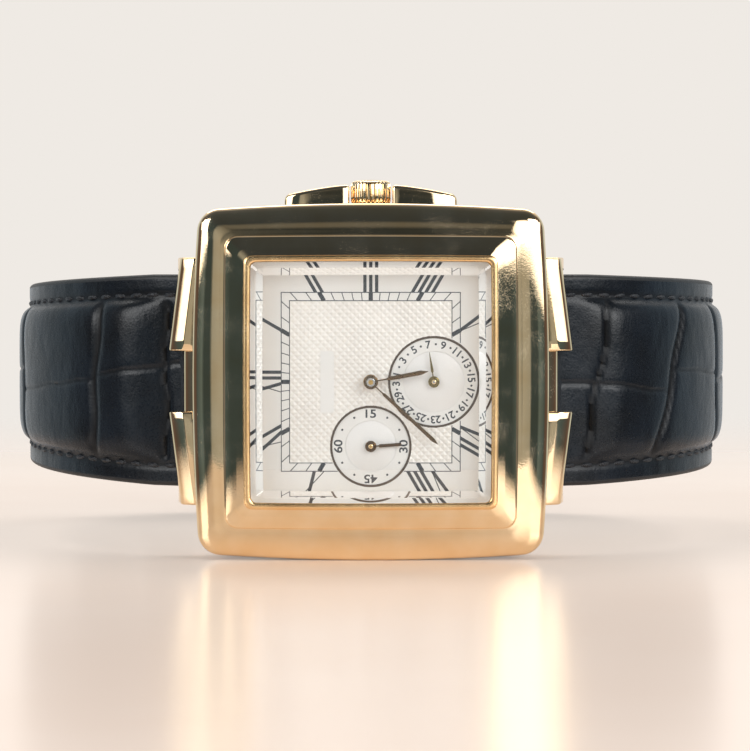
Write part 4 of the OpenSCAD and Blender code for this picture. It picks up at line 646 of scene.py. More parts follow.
def printed(name, shapes, ink, level):
    """Flat printed shapes, each a list of outline corners, as thin pads on the dial."""
    parts = []
    for shape in shapes:
        p = np.asarray(shape, float)
        area = np.sum(p[:, 0] * np.roll(p[:, 1], -1) - np.roll(p[:, 0], -1) * p[:, 1])
        parts.append(prism(p[::-1] if area < 0 else p, level, level + PRINT_THICK))
    piece(name, joined(parts), ink, smooth=False)


def bar(a, b, wide):
    """Outline of a straight stroke."""
    a, b = np.array(a, float), np.array(b, float)
    along = (b - a) / np.linalg.norm(b - a)
    side = np.array([-along[1], along[0]])
    return [a - side * wide / 2, b - side * wide / 2, b + side * wide / 2, a + side * wide / 2]


def printed_ring(centre, r_in, r_out, level, n=160):
    top = level + PRINT_THICK
    return turned([(level, r_in), (level, r_out), (top, r_out), (top, r_in)], centre, n)


def edge_point(angle, half):
    """Where the ray of a dial angle meets the square of that half width."""
    d = hour_direction(angle)
    return d * half / max(abs(d))


def clipped(shape, keep):
    """Outline cut to the side of a line where keep(point) is positive."""
    out = []
    for k in range(len(shape)):
        a, b = np.array(shape[k]), np.array(shape[(k + 1) % len(shape)])
        fa, fb = keep(a), keep(b)
        if fa >= 0:
            out.append(a)
        if (fa >= 0) != (fb >= 0):
            out.append(a + (b - a) * fa / (fa - fb))
    return out


def numeral_shapes(angle, word):
    """Strokes of a Roman numeral, parallel to the ray of its hour, standing on the track."""
    d = hour_direction(angle)
    side = np.array([-d[1], d[0]])
    axis = int(abs(d[1]) > abs(d[0]))
    sign = 1 if d[axis] > 0 else -1
    at = -sum(LETTER_WIDTH[c] for c in word) / 2
    middle = edge_point(angle, NUMERAL_MIDDLE)
    shapes = []

    def on_ray(offset, half):
        # A point on the line parallel to the ray, shifted sideways, where it meets the square
        base = middle + side * offset
        return base + d * (half - sign * base[axis]) / abs(d[axis])

    # Read from the centre, the word runs clockwise, with the foot of each letter inside
    for c in word:
        mid = at + LETTER_WIDTH[c] / 2
        strokes = {"I": [(mid, mid, STROKE)],
                   "V": [(mid, mid - 0.42, STROKE), (mid + 0.06, mid + 0.46, THIN)],
                   "X": [(mid + 0.40, mid - 0.40, STROKE), (mid - 0.42, mid + 0.42, THIN)]}[c]
        for foot, head, wide in strokes:
            a, b = on_ray(-foot, NUMERAL_IN), on_ray(-head, NUMERAL_OUT)
            along = (b - a) / np.linalg.norm(b - a)
            shape = bar(a - along * 0.8, b + along * 0.8, wide)
            shape = clipped(shape, lambda p: sign * p[axis] - NUMERAL_IN)
            shapes.append(clipped(shape, lambda p: NUMERAL_OUT - sign * p[axis]))
        at += LETTER_WIDTH[c]
    return shapes


def figures(name, words, height, wide, level):
    """Printed figures: each word is its text, centre and turn in degrees on the lying watch."""
    parts = []
    for text, centre, turn in words:
        curve = bpy.data.curves.new("figure", "FONT")
        curve.body = text
        curve.size = height * 1.38
        curve.space_character = 0.98
        curve.offset = 0.022
        obj = bpy.data.objects.new("figure", curve)
        mesh = bpy.data.meshes.new_from_object(obj)
        c, s = cos(radians(turn)), sin(radians(turn))
        flat = np.array([v.co[:2] for v in mesh.vertices])
        flat = (flat - (flat.min(0) + flat.max(0)) / 2) * (wide, 1.0)
        x = centre[0] + flat[:, 0] * c - flat[:, 1] * s
        y = centre[1] + flat[:, 0] * s + flat[:, 1] * c
        parts.append((at_height(np.column_stack([x, y]), level),
                      [tuple(p.vertices) for p in mesh.polygons]))
        bpy.data.objects.remove(obj)
    piece(name, joined(parts), numeral_ink, smooth=False)


def dial_print():
    top, low = DIAL_TOP + PRINT_LIFT, DIAL_TOP - DIAL_STEP + PRINT_LIFT
    shapes = []
    for angle, word in NUMERALS.items():
        shapes += numeral_shapes(angle, word)

    def clear_of_small_dials(*places):
        return all(dist(p, centre) > r + PRINT_GAP for p in places for centre, r in SMALL_DIALS)

    # Minute track: two square lines with a tick for every minute and a block for every hour
    track = []
    for half in (TRACK_OUT, TRACK_IN):
        for c, s in ((1, 0), (0, 1), (-1, 0), (0, -1)):
            ends = np.linspace(-half - TRACK_LINE / 2, half + TRACK_LINE / 2, 121)
            line = [np.array([half * c - a * s, half * s + a * c]) for a in ends]
            track += [bar(a, b, TRACK_LINE) for a, b in zip(line, line[1:])
                      if clear_of_small_dials(a, b)]
    for minute in range(60):
        a, b = edge_point(minute * 6, TRACK_IN), edge_point(minute * 6, TRACK_OUT)
        if clear_of_small_dials(a, b):
            if minute % 5:
                track.append(bar(a, b, TRACK_LINE))
            else:
                shapes.append(bar(a, b, HOUR_BLOCK))
    printed("numerals", shapes, numeral_ink, top)
    printed("minute_track", track, track_ink, top)
    # Edge lines and figures of the two small dials
    rings = [printed_ring(centre, r - RING_LINE_HALF, r + RING_LINE_HALF, top)
             for centre, r in SMALL_DIALS]
    piece("small_dial_rings", joined(rings), ring_ink, smooth=False)
    dates, dots = [], []
    for day in range(1, 32):
        d = hour_direction(day * 360 / 31)
        place = np.array(DATE_AT) + d * DATE_FIGURES_R
        if day % 2:
            dates.append((str(day), place, degrees(atan2(d[1], d[0])) - 90))
        else:
            dots.append(place)
    # The figures of the seconds stand outwards, but for the last, which stands as the first does
    seconds = []
    for text, angle, turn in (("60", 0, 90), ("15", 90, 0), ("30", 180, 90), ("45", 270, 180)):
        place = np.array(SECONDS_AT) + hour_direction(angle) * SECONDS_FIGURES_R
        seconds.append((text, place, turn))
        for shift in (30, 60):
            dots.append(np.array(SECONDS_AT) + hour_direction(angle + shift) * SECONDS_DOTS_R)
    figures("date_figures", dates, 0.76, 1.02, low)
    figures("seconds_figures", seconds, 0.84, 1.18, low)
    dots = [printed_ring(p, 0.01, 0.11, low, n=16) for p in dots]
    piece("small_dial_dots", joined(dots), numeral_ink, smooth=False)


def guilloche():
    """Engine-turned ground inside the minute track: rows of small pyramids, cut at its edges."""
    edge = TRACK_IN - TRACK_LINE / 2
    rows = 21
    r = edge / rows
    low, tip = DIAL_TOP + 0.003, DIAL_TOP + 0.075
    limits = [lambda p: edge - p[0], lambda p: edge + p[0], lambda p: edge - p[1],
              lambda p: edge + p[1],
              lambda p: dist(p[:2], DATE_AT) - DATE_R - PRINT_GAP,
              lambda p: dist(p[:2], SECONDS_AT) - SECONDS_R - PRINT_GAP,
              lambda p: hypot(p[0], p[1]) - HUB_GAP_R,
              lambda p: max(abs(p[0] - PANEL_X) - PANEL_HALF_X, abs(p[1]) - PANEL_HALF_Y)]
    points, faces = [], []
    for i in range(-rows, rows + 1):
        for j in range(-rows, rows + 1):
            if (i + j) % 2:
                continue
            c = np.array([i * r, j * r, tip])
            ring = [c + (x * r, y * r, low - tip) for x, y in ((1, 0), (0, 1), (-1, 0), (0, -1))]
            for k in range(4):
                shape = [ring[k], ring[(k + 1) % 4], c]
                for keep in limits:
                    shape = clipped(shape, keep)
                if len(shape) > 2:
                    faces.append(tuple(range(len(points), len(points) + len(shape))))
                    points += [tuple(p) for p in shape]
    piece("guilloche", (points, faces), guilloche_silver, smooth=False)


def small_discs():
    """Polished discs in the middle of the two small dials, with a turned edge."""
    z, hole_r = DIAL_TOP - 0.16, 0.3
    for name, centre, r in (("date_disc", DATE_AT, DATE_DISC_R),
                            ("seconds_disc", SECONDS_AT, SECONDS_DISC_R)):
        profile = [(z, hole_r), (z, r - 0.02), (z + 0.03, r - 0.02), (z + 0.05, r - 0.06),
                   (z + 0.05, hole_r)]
        piece(name, turned(profile, centre, 96), disc_silver, crease=30)


def crystal():
    """Clear block with two polished facets all round: a gentle outer one and a steep inner one."""
    levels = [(9.3, CRYSTAL_HALF, FLAT_BOW, 0.6), (10.12, CRYSTAL_HALF, FLAT_BOW, 0.6),
              (10.52, 11.33, FLAT_BOW, 0.35), (11.43, 10.62, FLAT_BOW, 0.15)]
    piece("crystal_faceted", loft(bowed_rings(levels)), crystal_glass, crease=5,
          stands_for="crystal")


def blade(angle, stations, z, ridge, centre):
    """A hand with a low roof-shaped top; stations are (distance from the axis, full width)."""
    thick = 0.12
    d = hour_direction(angle)
    side = np.array([-d[1], d[0]])
    rings = []
    for r, w in stations:
        eaves = thick - ridge * w
        ring = []
        for across, up in ((-0.5, 0.0), (-0.5, eaves), (0.0, thick), (0.5, eaves), (0.5, 0.0)):
            p = np.array(centre) + d * r + side * across * w
            ring.append((p[0], p[1], z + up))
        rings.append(ring)
    return loft(rings)


def collar(centre, r, r_in, z0, z1):
    return turned([(z0, r_in), (z0, r), (z1 - 0.1, r), (z1 - 0.03, r - 0.04), (z1, r - 0.12),
                   (z1, r_in + 0.04), (z1 - 0.04, r_in)], centre, 64)


def leaf(root, neck_w, wide, full, length):
    """Stations of a thin neck, a blade that swells evenly, and a fine point."""
    out = [(root, neck_w), (1.6, neck_w), (1.8, wide * 0.84)]
    out += [(1.8 + (full - 1.8) * k / 8, wide * (0.84 + 0.16 * k / 8)) for k in range(1, 9)]
    return out + [(full + (length - full) * 0.5, wide * 0.52), (length, 0.03)]


def hands():
    """Four hands, each a blade on a ring painted dark brown as a painted reflection, three of them
    with a steel pin or a gold collar in the middle of the ring."""
    axis = (0.0, 0.0)
    for name, node_name, body, finishes, centre, angle, z, ridge, stations, collars in (
        ("hour_hand_leaf", "hour_hand", "hour_train", [hand_gilt_painted_dark], axis, 169.4, 7.45, 0.1,
         leaf(0.66, 0.14, 0.46, 5.05, 5.8), [(0.7, 0.62, 7.41, 7.67)]),
        ("minute_hand_leaf", "minute_hand", "minute_train", [hand_gilt_painted_dark, steel], axis, 222.8, 7.86,
         0.1, leaf(0.58, 0.12, 0.38, 8.46, 9.06),
         [(0.7, 0.45, 7.81, 8.16), (0.46, 0.36, 7.81, 8.22)]),
        ("seconds_hand_baton", "seconds_hand", "seconds_train", [seconds_gilt_painted_dark, case_gold],
         SECONDS_AT, 176, 7.1, 0.12,
         [(0.46, 0.14), (0.8, 0.14), (0.86, 0.32), (2.9, 0.32), (3.02, 0.28)],
         [(0.56, 0.25, 6.98, 7.28), (0.26, 0.12, 6.98, 7.3)]),
        ("date_hand_needle", "date_hand", "date_train", [date_gilt_painted_dark, case_gold],
         DATE_AT, 81.3, 7.1, 0.12, [(0.46, 0.12), (0.95, 0.12), (1.05, 0.28), (3.0, 0.04)],
         [(0.56, 0.25, 6.98, 7.28), (0.26, 0.12, 6.98, 7.3)]),
    ):
        parts = [blade(angle, stations, z, ridge, centre)] + [collar(centre, *c) for c in collars]
        kinds = [int(k == 2) for k, part in enumerate(parts) for _ in part[1]]
        piece(name, joined(parts), finishes, body=body, crease=10, kinds=kinds,
              stands_for=node_name)


class Route:
    """The middle line of the strap in the x-z plane, by length from the lug bar. Its parts are
    arcs (centre, radius, two angles in degrees) and straight lines (two ends)."""

    def __init__(self, parts):
        self.parts, self.length = [], 0.0
        for p in parts:
            arc = len(p) == 5
            span = abs(radians(p[4] - p[3])) * p[2] if arc else dist(p[:2], p[2:4])
            self.parts.append((self.length, span, p))
            self.length += span

    def at(self, s):
        """Place and outward angle at a length."""
        s = min(max(s, 0.0), self.length)
        for start, span, p in self.parts:
            if s <= start + span + 1e-9:
                break
        u = (s - start) / span
        if len(p) == 5:
            cx, cz, r, a0, a1 = p
            a = radians(a0 + (a1 - a0) * u)
            return cx + r * cos(a), cz + r * sin(a), a
        x0, z0, x1, z1 = p
        a = atan2(-(x1 - x0), (z1 - z0)) + pi
        return x0 + (x1 - x0) * u, z0 + (z1 - z0) * u, a


FROM_LUG = [(9.392, -22.0, 26.408, 71.21, 0.0), (35.8, -22.0, 35.8, -28.5)]
SHORT_ROUTE = Route(FROM_LUG + [(13.8, -28.5, 22.0, 0.0, -90.0), (13.8, -50.5, 12.0, -50.5)])
LONG_ROUTE = Route(FROM_LUG + [(11.4, -28.5, 24.4, 0.0, -90.0), (11.4, -52.9, -13.8, -52.9),
                               (-13.8, -28.5, 24.4, -90.0, -152.0)])
LONG_FLAT = LONG_ROUTE.parts[3][0]

# Grooves across each half as (length along, slant), and for each stretch between two of them where
# its one lengthwise groove starts and ends. The first rows lie as the photograph shows them; behind
# the watch they go on in the same way.
SHORT_ROWS = [(2.4, 0.0), (10.2, -0.06), (25.5, 0.05), (31.5, -0.04), (36.0, 0.05), (44.5, 0.0),
              (52.5, 0.04), (60.0, 0.0)]
SHORT_MIDDLES = [(1.8, 1.5), (1.4, 0.4), (-0.1, -1.6), (0.9, 0.2), (-0.6, 0.2), (0.8, 0.4),
                 (-0.5, 0.0), (0.5, 0.2), (0.0, 0.0)]
LONG_ROWS = [(4.6, 0.165), (13.9, 0.27), (24.5, -0.06), (33.0, 0.04), (41.5, -0.04), (50.0, 0.03),
             (58.0, 0.0), (66.0, 0.04), (74.0, 0.0), (82.0, -0.04), (90.0, 0.0), (98.0, 0.04),
             (106.0, 0.0), (114.0, 0.0), (122.0, 0.0)]
LONG_MIDDLES = [(-0.4, -0.3), (-0.3, -1.5), (0.9, 0.2), (-0.7, 0.1), (0.6, 0.3)]


def scales(rows, middles, seed):
    """How deep a groove is (0 to 1) and how full a scale is at each place of the leather."""
    shake = np.random.default_rng(seed).uniform(0, 6.28, len(rows) + 2)

    def at(s, y):
        places = [r + slant * y + 0.2 * sin(0.7 * y + shake[k])
                  for k, (r, slant) in enumerate(rows)]
        k = sum(s > p for p in places)
        start = places[k - 1] if k else 0.0
        end = places[k] if k < len(places) else start + 8.0
        y0, y1 = middles[k % len(middles)]
        mid = y0 + (y1 - y0) * (s - start) / (end - start) + 0.07 * sin(1.1 * s + shake[-1])
        along = abs(y - mid)
        near = min(abs(s - p) for p in places)
        # The first row, by the lug, is a tight fold; the others are pressed and wider
        width = 0.2 if s < 7 else 0.34
        groove = max(exp(-(near / width) ** 2), 0.5 * exp(-(along / 0.15) ** 2))
        # The corners of the scales are rounded: where two grooves meet they widen
        groove = max(groove, 0.7 * exp(-((along + near) / 0.5) ** 2))
        full = (1 - exp(-(near / 1.0) ** 1.4)) * (1 - 0.35 * exp(-(along / 0.5) ** 1.4))
        return min(groove, 1.0), full
    return at


def strap_surface(route, sign, half_w, half_t, pad, grain):
    """Skin of one strap half: padded pressed face, painted edges and flat lining."""
    edge, face_n = 0.45, 83
    stations = np.linspace(0, route.length, int(route.length / 0.36) + 1)
    quarter = [radians(18 * k) for k in range(6)]
    rings, groove = [], []
    for s in stations:
        x, z, a = route.at(s)
        w, t, p = half_w(s), half_t(s), pad(s)
        flat, inner = w - edge, max(w - 2.5, 1.0)
        ring, marks = [], []
        for u in np.linspace(1, -1, face_n):
            y = u * flat
            share = min(abs(y) / inner, 1.0)
            h = t + PAD * p * (1 - share ** 8) ** 0.8 * (1 - 0.04 * share * share)
            margin = 1 - rise(abs(y), inner - 0.5, inner + 0.1)
            deep, full = grain(s, y)
            h += margin * (SCALE_RISE * full * (0.4 + 0.6 * p) - GROOVE_DEPTH * deep)
            # The stitched margin: a shallow channel under the thread
            channel = exp(-((abs(y) - (w - STITCH_INSET)) / 0.3) ** 2)
            ring.append((y, h - 0.14 * channel))
            # Marks for the leather finish: the grooves and the stitch channel, painted dark as
            # painted shade and made duller
            marks.append(max(deep * margin, 0.6 * channel))
        top, low = t - edge, edge - t
        rim = [(-flat - edge * sin(q), top + edge * cos(q)) for q in quarter[1:]]
        rim += [(-flat - edge * cos(q), low - edge * sin(q)) for q in quarter]
        rim += [(u * flat, -t) for u in np.linspace(-1, 1, 13)[1:-1]]
        rim += [(flat + edge * sin(q), low - edge * cos(q)) for q in quarter]
        rim += [(flat + edge * cos(q), top + edge * sin(q)) for q in quarter[:-1]]
        rings.append([(sign * (x + n * cos(a)), y, z + n * sin(a)) for y, n in ring + rim])
        groove.append(marks + [0.0] * len(rim))
    part = loft(rings)
    # Finishes round the section: face 0, edges 2, lining 1
    kinds = [0] * (face_n - 1) + [2] * 11 + [1] * 12
    kinds += [2] * (len(rings[0]) - len(kinds))
    kinds = kinds * (len(stations) - 1) + [2, 2]
    return turned_over(part) if sign > 0 else part, kinds, np.array(groove).ravel()


def short_half_width(s):
    return STRAP_HALF - 2.0 * rise(s, 4, SHORT_ROUTE.length - 27)


def long_half_width(s):
    side = STRAP_HALF - 2.2 * rise(s, 4, LONG_FLAT - 4)
    tip = rise(s, LONG_ROUTE.length - 7, LONG_ROUTE.length)
    return side * sqrt(1 - 0.72 * tip * tip)


def short_half_thickness(s):
    return 1.2


def long_half_thickness(s):
    return 1.2 - 0.2 * eased(rise(s, LONG_FLAT - 22, LONG_FLAT - 4))


def short_padding(s):
    start = SHORT_ROUTE.length - 44
    return eased(rise(s, 2, 7)) * (1 - eased(rise(s, start, start + 18)))


def long_padding(s):
    return eased(rise(s, 2, 7)) * (1 - eased(rise(s, LONG_FLAT - 22, LONG_FLAT - 2)))


def stitches(name, route, sign, half_w, half_t, s0, s1):
    """Two rows of thread: each stitch a short roll that dips into the leather at both ends."""
    length, pitch = 1.5, 1.95
    parts = []
    for side in (-1, 1):
        s = s0
        while s + length < s1:
            rings = []
            slant = rng.uniform(-0.07, 0.07)
            for k in range(9):
                u = k / 8
                at = s + length * u
                x, z, a = route.at(at)
                swell = 0.25 * sin(pi * (0.06 + 0.88 * u)) ** 0.4
                lift = half_t(at) - 0.3 + 0.2 * sin(pi * u) ** 0.6
                y0 = side * (half_w(at) - STITCH_INSET) + slant * (u - 0.5) * 2
                ring = []
                for q in circle(8):
                    n = lift + 0.8 * swell * sin(q)
                    ring.append((sign * (x + n * cos(a)), y0 + swell * cos(q),
                                 z + n * sin(a)))
                rings.append(ring)
            parts.append(loft(rings))
            s += pitch
    piece(name, joined(parts), thread, crease=80)


def strap():
    for name, node_name, route, sign, half_w, half_t, pad, grain in (
        ("strap_short_leather", "strap_short", SHORT_ROUTE, -1, short_half_width,
         short_half_thickness, short_padding, scales(SHORT_ROWS, SHORT_MIDDLES, 3)),
        ("strap_long_leather", "strap_long", LONG_ROUTE, 1, long_half_width,
         long_half_thickness, long_padding, scales(LONG_ROWS, LONG_MIDDLES, 4)),
    ):
        part, kinds, groove = strap_surface(route, sign, half_w, half_t, pad, grain)
        obj = piece(name, part, [strap_leather, lining_leather, edge_paint], crease=70,
                    kinds=kinds, groove=groove, stands_for=node_name)
        # Loop of the strap end round the spring bar
        half = [(y - STRAP_HALF, r) for y, r in ((0.0, 0.76), (0.0, 1.3), (0.15, 1.46), (0.4, 1.5))]
        profile = half + [(-y, r) for y, r in reversed(half)]
        rings = rings_along_y(profile, (sign * BAR_AT[0], BAR_AT[1]), 48)
        piece(node_name + "_end", turned_over(loft(rings, round_trip=True)), keeper_leather,
              crease=50)
    stitches("stitches_short", SHORT_ROUTE, -1, short_half_width, short_half_thickness,
             1.2, SHORT_ROUTE.length - 6)
    stitches("stitches_long", LONG_ROUTE, 1, long_half_width, long_half_thickness,
             1.0, LONG_ROUTE.length - 8)


def strap_holes():
    """Slot for the tongue in both halves and the round holes in the tail."""
    z0, z1, hole_r, slot_half = -56.0, -50.6, 0.9, 1.0

    def round_hole(x):
        t = circle(24)
        return prism(np.column_stack([x + hole_r * np.cos(t), hole_r * np.sin(t)]), z0, z1)

    bend = np.linspace(-pi / 2, pi / 2, 9)
    slot = [(-5.9 - slot_half + slot_half * cos(a), slot_half * sin(a)) for a in bend]
    slot += [(-12.0 + slot_half - slot_half * cos(a), -slot_half * sin(a)) for a in bend]
    holes = [prism(np.array(slot), z0, z1), round_hole(-2.45), round_hole(4.05)]
    # Two more holes lie in the tail, where it bends round the corner
    for turn in (17, 34):
        p, faces = round_hole(-10.9)
        c, s = cos(radians(turn)), sin(radians(turn))
        x, z = p[:, 0] - CORNER_AT[0], p[:, 2] - CORNER_AT[1]
        holes.append((np.column_stack([CORNER_AT[0] + x * c + z * s, p[:, 1],
                                       CORNER_AT[1] - x * s + z * c]), faces))
    carve(bpy.data.objects["strap_long_leather"], joined(holes), edge_paint, 70)
    corners = np.array([(-15.0, -1.0), (-9.0, -1.0), (-9.0, 1.0), (-15.0, 1.0)])
    carve(bpy.data.objects["strap_short_leather"], prism(corners, -52.5, -48.5), edge_paint, 70)


def rounded_box(half_a, mid_b, half_b, radius, steps):
    """Outline of a box with round corners: each point with its outward direction."""
    out = []
    for k, (sa, sb) in enumerate(((1, 1), (-1, 1), (-1, -1), (1, -1))):
        for j in range(steps + 1):
            q = radians(90 * k + 90 * j / steps)
            out.append((sa * (half_a - radius) + radius * cos(q),
                        mid_b + sb * (half_b - radius) + radius * sin(q),
                        cos(q), sin(q)))
    return out


def keeper(name, angle, body, node_name):
    """A closed leather band round both layers, with rounded edges and two rows of stitches."""
    cx, cz = CORNER_AT
    base = radians(-90 - angle)
    # The way of the band round the strap, with points no more than 1.2 mm apart
    loop = [np.array(v) for v in rounded_box(KEEPER_HALF_Y, KEEPER_R, KEEPER_HALF_R, 0.7, 6)]
    section = rounded_box(2.5, 0.4, 0.4, 0.28, 3)
    rings = []
    for a, b in zip(loop, loop[1:] + loop[:1]):
        steps = max(1, int(dist(a[:2], b[:2]) / 1.2))
        for j in range(steps):
            y, r, ny, nr = a + (b - a) * j / steps
            size = hypot(ny, nr)
            ny, nr = ny / size, nr / size
            rings.append([(cx + (r + nr * v) * cos(base + u / 25.0), y + ny * v,
                           cz + (r + nr * v) * sin(base + u / 25.0))
                          for u, v, _, _ in section])
    piece(name, turned_over(loft(rings, round_trip=True)), keeper_leather, body=body, crease=75,
          stands_for=node_name)
    seam_r = 26.4
    parts = []
    for u in (-1.75, 1.75):
        y = -7.9
        while y < 7.5:
            rings = []
            for k in range(7):
                f = k / 6
                swell = 0.15 * sin(pi * (0.08 + 0.84 * f)) ** 0.4
                ring = []
                for q in circle(6):
                    r = 26.3 + 0.1 * sin(pi * f) + swell * 0.7 * sin(q)
                    a = base + u / seam_r + swell * cos(q) / seam_r
                    ring.append((cx + r * cos(a), y + 1.5 * f, cz + r * sin(a)))
                rings.append(ring)
            parts.append(loft(rings))
            y += 2.1
    piece(name + "_stitches", joined(parts), thread, body=body, crease=80)


def side_bar_outline(inset):
    """Outline of a side of the buckle frame, in x and z: two rounds and the flanks between them."""
    p, q = np.array(BUCKLE_BAR), np.array(FRONT_BAR)
    rp, rq, n = 1.25 - inset, 0.8 - inset, 20
    d = q - p
    base = atan2(d[1], d[0])
    lean = acos((rp - rq) / np.linalg.norm(d))
    t = np.linspace(base - lean, base + lean, n)
    u = np.linspace(base + lean, base + 2 * pi - lean, n)
    return np.vstack([np.column_stack([q[0] + rq * np.cos(t), q[1] + rq * np.sin(t)]),
                      np.column_stack([p[0] + rp * np.cos(u), p[1] + rp * np.sin(u)])])


def buckle():
    parts = []
    rounding = ((0.0, 0.22), (0.06, 0.08), (0.22, 0.0), (0.98, 0.0), (1.14, 0.08), (1.2, 0.22))
    for y0 in (9.1, -10.3):
        rings = []
        for y, inset in rounding:
            o = side_bar_outline(inset)
            rings.append(np.column_stack([o[:, 0], np.full(len(o), y0 + y), o[:, 1]]))
        parts.append(loft(rings[::-1]))
    # The front bar is worn thin in the middle, where the tongue rests
    profile = [(y, 0.8 - 0.05 * exp(-(y / 1.1) ** 2)) for y in np.linspace(-10.05, 10.05, 25)]
    parts.append(loft(rings_along_y(profile, FRONT_BAR, 40)[::-1]))
    piece("buckle_frame_polished", joined(parts), case_gold, crease=40,
          stands_for="buckle_frame")
    # Tongue: a ring on the bar that runs into a tapering bent blade
    profile = [(-0.7, 0.64), (-0.7, 0.95), (-0.62, 1.05), (0.62, 1.05), (0.7, 0.95), (0.7, 0.64)]
    ring_part = loft(rings_along_y(profile, BUCKLE_BAR, 40)[::-1], round_trip=True)
    # Lower and upper side of the blade in x and z, and its half width
    stations = (((-11.55, -51.35), (-11.15, -50.75), 0.68), ((-10.4, -52.55), (-9.9, -51.75), 0.7),
                ((-9.0, -53.85), (-8.6, -52.75), 0.7), ((-7.6, -55.0), (-7.4, -53.6), 0.68),
                ((-6.3, -55.85), (-6.1, -54.75), 0.64), ((-5.0, -56.28), (-5.0, -55.62), 0.6),
                ((-3.8, -56.32), (-3.8, -55.62), 0.52), ((-3.2, -56.15), (-3.2, -55.68), 0.3))
    rings = []
    for a, b, w in stations:
        ring = []
        for q in circle(20):
            cy, cn = cos(q), sin(q)
            up = 0.5 + 0.5 * copysign(abs(cn) ** 0.55, cn)
            x, z = np.array(a) + (np.array(b) - a) * up
            ring.append((x, w * copysign(abs(cy) ** 0.55, cy), z))
        rings.append(ring)
    piece("buckle_tongue_polished", joined([ring_part, loft(rings)]), case_gold, body="tongue",
          crease=50, stands_for="buckle_tongue")


def floor_finish():
    """Pale smooth table. Towards its sides and its far end it melts into the backdrop."""
    m, node, mm = finish("pale_table")
    cloud = node("TexNoise", Vector=mm, Scale=0.02, Detail=3.0)
    tone = node("ValToRGB", cloud, stops=[(0.3, "#EFDACA"), (0.7, "#F3E1D3")])
    surface = node("BsdfPrincipled", Base_Color=tone, Roughness=0.22)
    where = node("SeparateXYZ", mm).outputs
    aside = node("Math", where[0], operation="ABSOLUTE")
    fades = [node("MapRange", Value=value, From_Min=near, From_Max=far,
                 interpolation_type="SMOOTHSTEP")
             for value, near, far in ((aside, 48.0, 82.0), (where[1], 70.0, 300.0))]
    fade = node("Math", fades[0], fades[1], operation="MAXIMUM")
    both = node("MixShader", fade, surface, node("BsdfTransparent"))
    node("OutputMaterial", Surface=both)
    return m


def table():
    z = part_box("bezel")[0][2]
    side, front, back = 0.085, -0.15, 0.31
    mesh = bpy.data.meshes.new("floor")
    mesh.from_pydata([(-side, front, z), (side, front, z), (side, back, z), (-side, back, z)],
                     [], [(0, 1, 2, 3)])
    mesh.materials.append(floor_finish())
    floor = bpy.data.objects.new("floor", mesh)
    scene.collection.objects.link(floor)


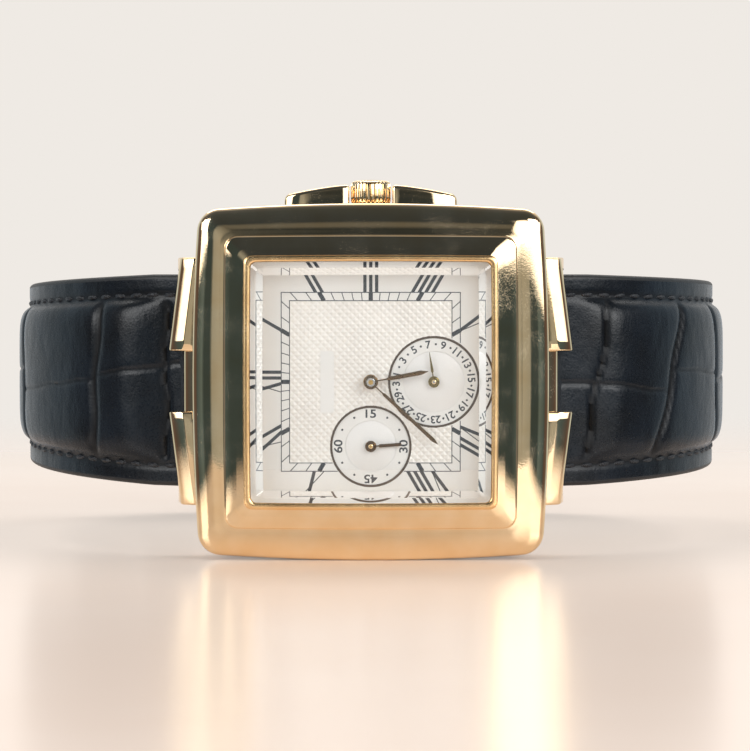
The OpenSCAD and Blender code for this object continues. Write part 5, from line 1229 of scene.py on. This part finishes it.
def room():
    """The world: a pale backdrop for the eye, soft light for matt things, and for polished metal
    the pale backdrop behind the watch with a dim room in front, bluish to the sides and olive
    above, and two white wall panels."""
    world = bpy.data.worlds.new("studio")
    scene.world = world
    world.use_nodes = True
    world.node_tree.nodes.clear()
    node = partial(add, world.node_tree)
    path = node("LightPath").outputs
    seen = node("Math", path["Is Camera Ray"], path["Is Transmission Ray"], operation="MAXIMUM")
    pale = node("Background", Color=BACKDROP, Strength=1.0)
    towards = node("TexCoord").outputs["Generated"]
    x, y, z = node("SeparateXYZ", towards).outputs
    cloud = node("TexNoise", Vector=towards, Scale=7.0, Detail=5.0)
    ripple = node("Math", cloud, 0.024, -0.012, operation="MULTIPLY_ADD")
    # Each ramp runs from straight in front of the watch (0) round to behind it (1)
    ahead = node("Math", y, -1.0, operation="MULTIPLY")
    turn = node("Math", ahead, operation="ARCCOSINE")
    half_turns = node("Math", turn, pi, operation="DIVIDE")
    from_front = node("Math", half_turns, ripple, operation="ADD")
    aside = node("ValToRGB", from_front, stops=[
        (0.0, "#37434B"), (0.03, "#37434B"), (0.045, "#A9ACA8"), (0.105, "#9DA19E"),
        (0.12, "#3C4A50"), (0.19, "#3C4A50"), (0.22, "#62757D"), (0.33, "#4B5C64"),
        (0.37, "#5A4E4C"), (0.5, "#6E625E"), (0.57, "#C3D6E0"), (0.9, BACKDROP)])
    above = node("ValToRGB", from_front, stops=[
        (0.0, "#31373A"), (0.045, "#33393C"), (0.07, "#666866"), (0.09, "#666866"),
        (0.11, "#3A4147"), (0.3, "#434A4F"), (0.42, "#565A60"), (0.6, BACKDROP), (1.0, BACKDROP)])
    wide = node("Math", x, operation="ABSOLUTE")
    high = node("Math", z, 0.0, operation="MAXIMUM")
    steep = node("Math", high, wide, operation="SUBTRACT")
    upward = node("MapRange", Value=steep, From_Min=-0.1, From_Max=0.1)
    tone = node("MixRGB", upward, aside, above)
    # The panels stand in front, to the right and to the left, a little above the watch
    leftward = node("Math", x, -1.0, operation="MULTIPLY")
    panels = []
    for sideways, start, end, foot in ((x, 0.07, 0.92, 0.004), (leftward, 0.54, 0.9, 0.024)):
        share = 1.0
        for value, low, full in ((sideways, start, start + 0.03), (sideways, end, end - 0.03),
                                 (z, foot, foot + 0.012), (z, 0.48, 0.42), (ahead, 0.0, 0.2)):
            edge = node("MapRange", Value=value, From_Min=low, From_Max=full)
            share = node("Math", share, edge, operation="MULTIPLY")
        panels.append(share)
    white = node("Math", panels[0], panels[1], operation="MAXIMUM")
    tone = node("MixRGB", white, tone, (2.4, 2.4, 2.4, 1.0))
    mirror = node("Background", Color=tone, Strength=1.0)
    soft = node("Background", Color="#F2F3F5", Strength=0.78)
    unseen = node("MixShader", path["Is Glossy Ray"], soft, mirror)
    both = node("MixShader", seen, unseen, pale)
    node("OutputWorld", Surface=both)


def lamps():
    for name, place, aim, size, power in (
        ("soft_box_left", (-0.23, -0.193, 0.135), (0, 0, 0.135), (0.15, 0.15), 0.34),
        ("soft_box_right", (0.21, -0.213, 0.13), (0, 0, 0.13), (0.19, 0.15), 0.43),
        ("soft_box_back", (0.0, 0.16, 0.34), (0, 0.02, 0.0), (0.5, 0.12), 0.66),
    ):
        data = bpy.data.lights.new(name, "AREA")
        data.shape = "RECTANGLE"
        data.size, data.size_y = size
        data.energy = power
        light = bpy.data.objects.new(name, data)
        scene.collection.objects.link(light)
        light.location = place
        light.rotation_euler = (Vector(aim) - Vector(place)).to_track_quat("-Z", "Y").to_euler()


def camera():
    data = bpy.data.cameras.new("camera")
    data.lens = 145.2
    data.sensor_width = 36.0
    cam = bpy.data.objects.new("camera", data)
    scene.collection.objects.link(cam)
    cam.location = (0.00042, -0.308, 0.01117)
    cam.rotation_euler = (radians(90 - 2.01), 0, 0)
    scene.camera = cam


bezel()
case_middle()
crown()
dial_print()
guilloche()
small_discs()
crystal()
hands()
strap()
strap_holes()
keeper("keeper_fixed_leather", 25, "watch", "keeper_fixed")
keeper("keeper_loose_leather", 46, "loose_keeper", "keeper_loose")
buckle()
table()
room()
lamps()
camera()
scene.view_settings.view_transform = "Standard"
